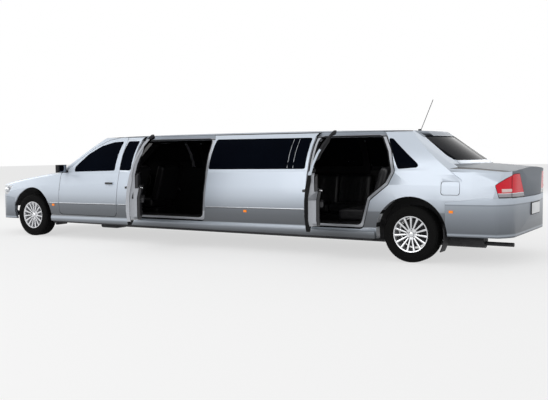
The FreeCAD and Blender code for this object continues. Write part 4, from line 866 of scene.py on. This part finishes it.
def build_rim(corner, side, centre):
    """Alloy wheel: deep barrel with a polished lip, fifteen spokes and a domed centre with five bolts."""
    bm = bmesh.new()
    face, seat = rim_face_y, bead_radius
    inner, outer = hub_radius - 0.008, seat - 0.016
    spoke = bmesh.ops.create_cube(bm, size=1.0)["verts"]
    for vert in spoke:
        far = vert.co.z > 0
        wide = 0.0118 if far else 0.0078
        front = face - (0.005 if far else 0.020)
        back = face - (0.034 if far else 0.052)
        vert.co = Vector((math.copysign(wide, vert.co.x), front if vert.co.y > 0 else back,
                          outer if far else inner))
    long_edges = [edge for edge in bm.edges if abs((edge.verts[0].co - edge.verts[1].co).z) > 0.05]
    bevel_edges(bm, long_edges, 0.0035, 2)
    shift(bm, centre)
    repeat_round(bm, centre, spoke_count)
    bolts = bmesh.new()
    lathe(bolts, [(radius, face - back) for radius, back in bolt_section], centre, 6, False)
    shift(bolts, Z_AXIS * bolt_circle)
    repeat_round(bolts, centre, bolt_count)
    face_out(bolts)
    for bolt_face in bolts.faces:
        bolt_face.material_index = 1
    lathe(bm, [(seat - down, face - back) for down, back in barrel_section], centre)
    lathe(bm, [(radius, face - back) for radius, back in hub_section], centre, 60, False)
    face_out(bm)
    join(bm, bolts)
    mirror_side(bm, side)
    finish_piece(corner + "_alloy", bm, [ALLOY, STEEL], corner + "_wheel", 35.0, (corner + "_rim",))


# Glass, window seals and lamps

def build_glass():
    for name, tint in (("windscreen", SCREEN), ("fixed_glass", PRIVACY)):
        finish_piece(name + "_pane", node_mesh(name), tint, "car", 40.0, (name,))
        build_pane_seals(name, "car")
    for side, word in SIDES:
        for kind in DOOR_KINDS:
            door = word + "_" + kind
            glass = door + "_glass"
            finish_piece(door + "_pane", node_mesh(glass), PRIVACY, door, 40.0, (glass,))
            build_pane_seals(glass, door)
        build_pane_joints(side, word)


def build_pane_seals(name, body):
    """Black bead round each pane, on the side that faces out."""
    bm = node_mesh(name)
    swing(bm, body, -1)

    def faces_out(face):
        centre = face.calc_center_median()
        away = Vector((0, centre.y, 0)) if abs(centre.y) > 0.55 else Vector((centre.x, 0, 0))
        if name == "windscreen":
            away = X_AXIS
        return face.normal.dot(away.normalized()) > 0.30

    keep_faces(bm, [face for face in bm.faces if faces_out(face)])
    beads = edge_beads(bm, pane_bead)
    swing(beads, body)
    finish_piece(name + "_beads", beads, SEAL, body)


def build_pane_joints(side, word):
    """Upright joints in the long side window."""
    skin = Skin("fixed_glass")
    bm = bmesh.new()
    for x in (-1.42, -1.50):
        run = [skin.beside(x, z, side) for z in (1.03, 1.12, 1.21, 1.30, 1.385)]
        run = [point for point in run if point]
        if len(run) > 2:
            tube(bm, run, joint_bead, 6)
    finish_piece(word + "_pane_joints", bm, BRIGHT, "car")


# The tail lamp's bands from below: where each ends, as a share of the lamp's height, and its slot
lamp_bands = ((0.04, 3), (0.17, 1), (0.20, 2))
bowl_section = ((0.0, -0.070), (0.020, -0.068), (0.040, -0.045), (0.050, -0.018), (0.053, -0.020),
                (0.043, -0.050), (0.022, -0.075), (0.0, -0.076))
bulb_section = ((0.0, -0.040), (0.010, -0.044), (0.013, -0.056), (0.0, -0.068))


def build_lamps():
    low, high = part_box("tail_lamps")
    tall = high.z - low.z
    bm = node_mesh("tail_lamps")
    cuts = [(low.z + tall * share, slot) for share, slot in lamp_bands]
    for z, slot in cuts:
        bmesh.ops.bisect_plane(bm, geom=bm.verts[:] + bm.edges[:] + bm.faces[:], plane_co=(0, 0, z),
                               plane_no=Z_AXIS)
    for face in bm.faces:
        height = face.calc_center_median().z
        face.material_index = next((slot for z, slot in cuts if height <= z), 0)
    materials = [RED, LAMP_BAND, BRIGHT, GLOSS_BLACK]
    finish_piece("tail_lamp_lenses", bm, materials, "car", 30.0, ("tail_lamps",))
    build_lamp_details(low, tall)
    finish_piece("headlamp_lenses", node_mesh("headlamps"), CLEAR, "car", 30.0, ("headlamps",))
    build_bowls()


def build_bowls():
    """Two bright bowls with their bulbs behind each headlamp's lens."""
    low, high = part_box("headlamps")
    skin = Skin("headlamps")
    bowls = bmesh.new()
    for side in (LEFT, RIGHT):
        for y in (0.60, 0.72):
            spot = skin.hit((high.x + 0.5, side * y, (low.z + high.z) / 2), -X_AXIS)
            if spot is None:
                continue
            bowl = bmesh.new()
            lathe(bowl, bowl_section, ORIGIN, 40, False)
            lathe(bowl, bulb_section, ORIGIN, 24, False)
            face_forward(bowl, spot - X_AXIS * 0.012)
            join(bowls, bowl)
    finish_piece("headlamp_bowls", bowls, CHROME, "car", 40.0)


def build_lamp_details(low, tall):
    """Pale reflector low in each tail lamp, and the dark seam round the lens."""
    skin = Skin("tail_lamps")
    for side, word in SIDES:
        bm = bmesh.new()
        run = [skin.beside(-4.050 + 0.009 * i, low.z + tall * 0.31, side) for i in range(9)]
        run = [point - Y_AXIS * side * 0.006 for point in run if point]
        if len(run) > 3:
            tube(bm, run, 0.0150, 10)
            bmesh.ops.scale(bm, vec=(1, 1, 1.3), space=Matrix.Translation(-run[0]), verts=bm.verts)
            face_out(bm)
        finish_piece(word + "_lamp_reflector", bm, REFLECTOR, "car", 60.0)
        seam = node_mesh("tail_lamps")
        keep_faces(seam, [face for face in seam.faces if side * face.normal.y > 0.45
                          and side * face.calc_center_median().y > 0.6])
        finish_piece(word + "_lamp_seam", edge_beads(seam, lamp_bead), SEAL, "car")


def build_mirrors():
    for side, word in SIDES:
        bm = node_mesh(word + "_mirror")
        rear = [face for face in bm.faces if face.normal.x < -0.8 and face.calc_area() > 0.003]
        made = bmesh.ops.inset_region(bm, faces=rear, thickness=0.008, use_even_offset=True)["faces"]
        for face in rear:
            face.material_index = 1
        for face in made:
            face.material_index = 2
        obj = finish_piece(word + "_mirror_head", bm, [TRIM, MIRROR, SEAL], word + "_front_door", 35.0,
                           (word + "_mirror",))
        round_edges(obj, 0.004)


plate_half_y = 0.180
plate_half_z = 0.060
surround = 0.008


def build_plates():
    """Blank plates with a dark surround, front and rear."""
    for name, z, way in (("rear_bumper", 0.585, 1), ("front_bumper", 0.54, -1)):
        low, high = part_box(name)
        start_x = low.x - 0.5 if way > 0 else high.x + 0.5
        x = Skin(name).hit((start_x, 0.003, z), (way, 0, 0)).x
        half_y, half_z = plate_half_y, plate_half_z
        bm = bmesh.new()
        block(bm, (x - way * 0.005, -half_y - surround, z - half_z - surround),
              (x + way * 0.02, half_y + surround, z + half_z + surround), 0.002)
        known = len(bm.faces)
        block(bm, (x - way * 0.007, -half_y, z - half_z), (x + way * 0.01, half_y, z + half_z), 0.001)
        bm.faces.ensure_lookup_table()
        for face in bm.faces[known:]:
            face.material_index = 1
        face_out(bm)
        finish_piece(name + "_plate", bm, [TRIM, PLATE], "car")


blade_points = 8


def build_wipers():
    """Two blades on the foot of the windscreen, each with a bent arm."""
    skin = Skin("windscreen")
    bm = bmesh.new()
    for y_from, y_to, pivot_y in ((-0.62, -0.06, -0.66), (0.0, 0.56, -0.04)):
        shares = [i / (blade_points - 1) for i in range(blade_points)]
        spots = [skin.hit((4.0, y_from + (y_to - y_from) * share, 1.075 + 0.012 * share), -X_AXIS)
                 for share in shares]
        blade = [spot + Vector((0.010, 0, 0.006)) for spot in spots if spot]
        if len(blade) < 4:
            continue
        tube(bm, blade, 0.006)
        middle = blade[len(blade) // 2]
        root = skin.hit((4.0, pivot_y, 1.045), -X_AXIS)
        if root:
            root = root + X_AXIS * 0.012
            elbow = root.lerp(middle, 0.5) + Vector((0.016, 0, 0.010))
            tube(bm, [root, elbow, middle + Vector((0.008, 0, 0.006))], 0.005)
    finish_piece("wipers", bm, TRIM, "car")


# Cabin

cushion_low_z, cushion_high_z = 0.40, 0.535
back_low_z, back_high_z = 0.50, 1.06
plinth_high_z = 0.405
front_seat_y = 0.37
seat_tilt = math.radians(17)
pad_cuts = 19
channel_depth = 0.007
channel_half_width = 0.010
lounge_rear_x, lounge_front_x = -1.86, 0.60
lounge_pads = 5
lounge_gap = 0.003


def pad(name, low, high, crown, channels, replaced, looks="z", across="y", tilt=0.0, radius=0.045,
        pull=0.010):
    """A stitched cushion: rounded block, crowned top, sides pulled in and sewn channels.

    Its crowned face looks along one axis and the channels lie side by side across another. A positive
    tilt leans the pad back about its foot."""
    bm = bmesh.new()
    bmesh.ops.create_cube(bm, size=2.0)
    bmesh.ops.subdivide_edges(bm, edges=bm.edges[:], cuts=pad_cuts, use_grid_fill=True)
    low, high = Vector(low), Vector(high)
    half = (high - low) / 2
    inner = Vector((max(c - radius, 0.001) for c in half))
    thick, wide = "xyz".index(looks), "xyz".index(across)
    long = 3 - thick - wide
    for vert in bm.verts:
        unit = vert.co.copy()
        co = Vector((unit[i] * half[i] for i in range(3)))
        held = Vector((max(-inner[i], min(inner[i], co[i])) for i in range(3)))
        away = co - held
        if away.length > 0:
            co = held + away.normalized() * radius
        if unit[thick] > 0:
            crowned = (1 - unit[wide] ** 4) * (1 - unit[long] ** 4)
            seam = (unit[wide] * 0.5 + 0.5) * channels
            near = abs(seam - round(seam)) / channels * 2 * half[wide]
            groove = channel_depth * math.exp(-(near / channel_half_width) ** 2) * crowned ** 0.3
            co[thick] += crown * crowned * unit[thick] - groove
        drawn = pull * (1 - abs(unit[thick])) * (1 - unit[long] ** 2)
        co[wide] -= math.copysign(drawn, unit[wide]) * abs(unit[wide]) ** 6
        vert.co = co
    middle = (low + high) / 2
    shift(bm, middle)
    if tilt:
        foot = (middle.x, middle.y, low.z)
        turn(bm, foot, *((-tilt, "Y") if looks == "x" else (tilt, "X")))
    face_out(bm)
    obj = finish_piece(name, bm, LEATHER, "car", 60.0, replaced)


def build_plinth(name, low, high, bevel, replaced):
    """Plain box between the floor and the cushions."""
    bm = bmesh.new()
    block(bm, (*low, floor_z + 0.002), (*high, plinth_high_z), bevel, 3)
    finish_piece(name, bm, TRIM, "car", 40.0, replaced)


def build_front_seats():
    seats = ("front_seats",)
    for side, word in SIDES:
        y = side * front_seat_y
        pad("front_seat_cushion_" + word, (1.555, y - 0.25, cushion_low_z),
            (1.985, y + 0.25, cushion_high_z), 0.014, 5, seats)
        pad("front_seat_back_" + word, (1.475, y - 0.245, back_low_z), (1.595, y + 0.245, back_high_z),
            0.016, 5, seats, "x", tilt=seat_tilt)
        build_plinth("front_seat_base_" + word, (1.47, y - 0.22), (1.94, y + 0.22), 0.03, seats)


def build_rear_seat():
    seat = ("rear_seat",)
    places = {"right": (-0.61, -0.21), "middle": (-0.205, 0.205), "left": (0.21, 0.61)}
    for word, (y_from, y_to) in places.items():
        pad("rear_cushion_" + word, (-2.395, y_from, cushion_low_z), (-1.975, y_to, cushion_high_z),
            0.014, 4, seat)
        pad("rear_back_" + word, (-2.485, y_from, back_low_z), (-2.365, y_to, back_high_z),
            0.014, 4, seat, "x", tilt=seat_tilt)
    build_plinth("rear_seat_base", (-2.42, -0.60), (-1.99, 0.60), 0.02, seat)


def build_lounge_seat():
    """Bench along the right wall, its backs leaned against the wall."""
    seat = ("lounge_seat",)
    span = (lounge_front_x - lounge_rear_x) / lounge_pads
    runs = []
    for i in range(lounge_pads):
        x = lounge_rear_x + span * i
        runs.append((x + lounge_gap, x + span - lounge_gap))
    for i, (x_from, x_to) in enumerate(runs):
        pad("lounge_cushion_%d" % i, (x_from, -0.585, cushion_low_z), (x_to, -0.295, 0.530), 0.012, 4,
            seat, across="x")
    for i, (x_from, x_to) in enumerate(runs):
        pad("lounge_back_%d" % i, (x_from, -0.675, 0.490), (x_to, -0.575, 0.920), 0.014, 4, seat, "y", "x",
            math.radians(9), 0.04, 0.0)
    build_plinth("lounge_base", (lounge_rear_x, -0.74), (lounge_front_x, -0.32), 0.02, seat)


def build_carpets():
    bm = bmesh.new()
    for side in (LEFT, RIGHT):
        block(bm, (-1.93, side * 0.118, floor_z + 0.001), (2.36, side * 0.79, floor_z + 0.014), 0.004)
    block(bm, (-3.86, -0.50, 0.4765), (-2.83, 0.50, 0.488), 0.004)
    finish_piece("carpets", bm, CARPET, "car")


grip_radius = 0.180
grip_half = 0.0145
hub_cap_section = ((0.0, 0.013), (0.030, 0.012), (0.044, 0.004), (0.046, -0.013), (0.0, -0.013))
wheel_spokes = (((-0.172, -0.006, -0.012), (-0.03, 0.005, 0.016)),
                ((0.03, -0.006, -0.012), (0.172, 0.005, 0.016)),
                ((-0.014, -0.006, -0.172), (0.014, 0.005, -0.03)))


def build_steering_wheel():
    """Round grip, plain hub cap and three spokes, made flat and turned to the column."""
    bm = bmesh.new()
    angles = [step * math.pi / 6 for step in range(12)]
    grip = [(grip_radius + grip_half * math.cos(a), grip_half * math.sin(a)) for a in angles]
    lathe(bm, grip, ORIGIN, 72)
    lathe(bm, hub_cap_section, ORIGIN, 40, False)
    for low, high in wheel_spokes:
        block(bm, low, high, 0.004)
    face_out(bm)
    lean = Y_AXIS.rotation_difference(wheel_axis).to_matrix()
    bmesh.ops.rotate(bm, cent=ORIGIN, matrix=lean, verts=bm.verts)
    shift(bm, hinges["steering_wheel"])
    finish_piece("steering_wheel_grip", bm, LEATHER, "steering_wheel", 40.0, ("steering_wheel",))


dial_section = ((0.0, 0.001), (0.040, 0.001), (0.042, -0.003), (0.046, -0.003), (0.047, 0.006),
                (0.0, 0.006))


def build_dials():
    """Bright rings on the dashboard's rear face."""
    skin = Skin("dashboard")
    bm = bmesh.new()
    for y in (-0.46, -0.30, 0.0, 0.42):
        spot = skin.hit((1.6, y, 0.855), X_AXIS)
        if spot is None:
            continue
        dial = bmesh.new()
        lathe(dial, dial_section, ORIGIN, 32, False)
        face_forward(dial, spot)
        join(bm, dial)
    finish_piece("dash_dials", bm, CHROME, "car")


def colour_nodes():
    """Finishes of the nodes that keep their own solid."""
    finishes = {
        "grille": CHROME, "cowl": TRIM, "dashboard": LEATHER, "aerial": TRIM,
        "engine": METAL, "front_subframe": METAL, "rear_axle": METAL, "exhaust": METAL,
        "floor_pan": SEALER, "boot_floor": SEALER, "wheel_housings": SEALER,
        "left_knuckle": STEEL, "right_knuckle": STEEL, "side_markers": ORANGE,
    }
    for name, material in finishes.items():
        nodes[name].data.materials.clear()
        nodes[name].data.materials.append(material)


# Camera, floor and light

floor_half = 60.0
floor_glow = 0.62
soft_strength = 0.55
aim_z = 0.7
studio_lamps = (("key", (2.0, 14.0, 7.0), 760.0, 10.0), ("front", (13.0, 2.0, 6.0), 260.0, 6.0),
                ("far", (-2.0, -13.0, 7.0), 300.0, 7.0), ("rear", (-14.0, -2.0, 4.0), 90.0, 6.0))


def build_floor():
    """Wide white floor that also glows a little where the camera sees it."""
    floor_bm = bmesh.new()
    bmesh.ops.create_grid(floor_bm, x_segments=1, y_segments=1, size=floor_half)
    mesh = bpy.data.meshes.new("floor")
    floor_bm.to_mesh(mesh)
    floor_bm.free()
    floor = bpy.data.objects.new("floor", mesh)
    finish = Finish("floor_white", (0.90, 0.90, 0.90), 0.9, specular=0.0)
    glow = finish.tree.nodes.new("ShaderNodeEmission")
    finish.mix_shaders(finish.seen_directly() * floor_glow, finish.shader, glow, "Material Output")
    mesh.materials.append(finish.material)
    bpy.context.scene.collection.objects.link(floor)


def build_light():
    """Soft even light that shows as white, and four large lamps."""
    world = bpy.data.worlds.new("studio")
    bpy.context.scene.world = world
    world.use_nodes = True
    sky = Nodes(world.node_tree)
    soft = sky.tree.nodes["Background"]
    soft.inputs["Color"].default_value = (1.0, 1.0, 1.0, 1.0)
    soft.inputs["Strength"].default_value = soft_strength
    white = sky.tree.nodes.new("ShaderNodeBackground")
    white.inputs["Color"].default_value = (1.0, 1.0, 1.0, 1.0)
    sky.mix_shaders(sky.seen_directly(), soft, white, "World Output")
    for name, spot, watts, size in studio_lamps:
        light = bpy.data.lights.new(name, "AREA")
        light.energy = watts
        light.size = size
        lamp = bpy.data.objects.new(name, light)
        lamp.location = spot
        lamp.rotation_euler = (Vector((0, 0, aim_z)) - Vector(spot)).to_track_quat("-Z", "Y").to_euler()
        bpy.context.scene.collection.objects.link(lamp)


# The camera's place, turn and focal length, fitted to both wheels in the picture
camera_spot = Vector((-6.1364, 8.7746, 1.2242))
yaw, pitch, roll = math.radians(31.74), math.radians(-3.57), math.radians(-0.5)
focal_pixels = 765.55
picture_pixels = 548
sensor_width = 36.0


def build_camera():
    """Camera at the photograph's place: behind the left rear corner, looking along the side."""
    flat = math.cos(pitch)
    way = Vector((math.sin(yaw) * flat, -math.cos(yaw) * flat, math.sin(pitch)))
    data = bpy.data.cameras.new("camera")
    data.sensor_width = sensor_width
    data.lens = focal_pixels / picture_pixels * sensor_width
    camera = bpy.data.objects.new("camera", data)
    aim = way.to_track_quat("-Z", "Y").to_matrix().to_4x4()
    camera.matrix_world = Matrix.Translation(camera_spot) @ aim @ Matrix.Rotation(roll, 4, "Z")
    bpy.context.scene.collection.objects.link(camera)
    bpy.context.scene.camera = camera


paint_panels()
build_doors()
build_mouldings()
build_sill_strips()
build_radiator()
build_wheels()
build_glass()
build_lamps()
build_mirrors()
build_plates()
build_wipers()
build_front_seats()
build_rear_seat()
build_lounge_seat()
build_carpets()
build_steering_wheel()
build_dials()
colour_nodes()
build_floor()
build_light()
build_camera()
bpy.context.scene.view_settings.view_transform = "Standard"
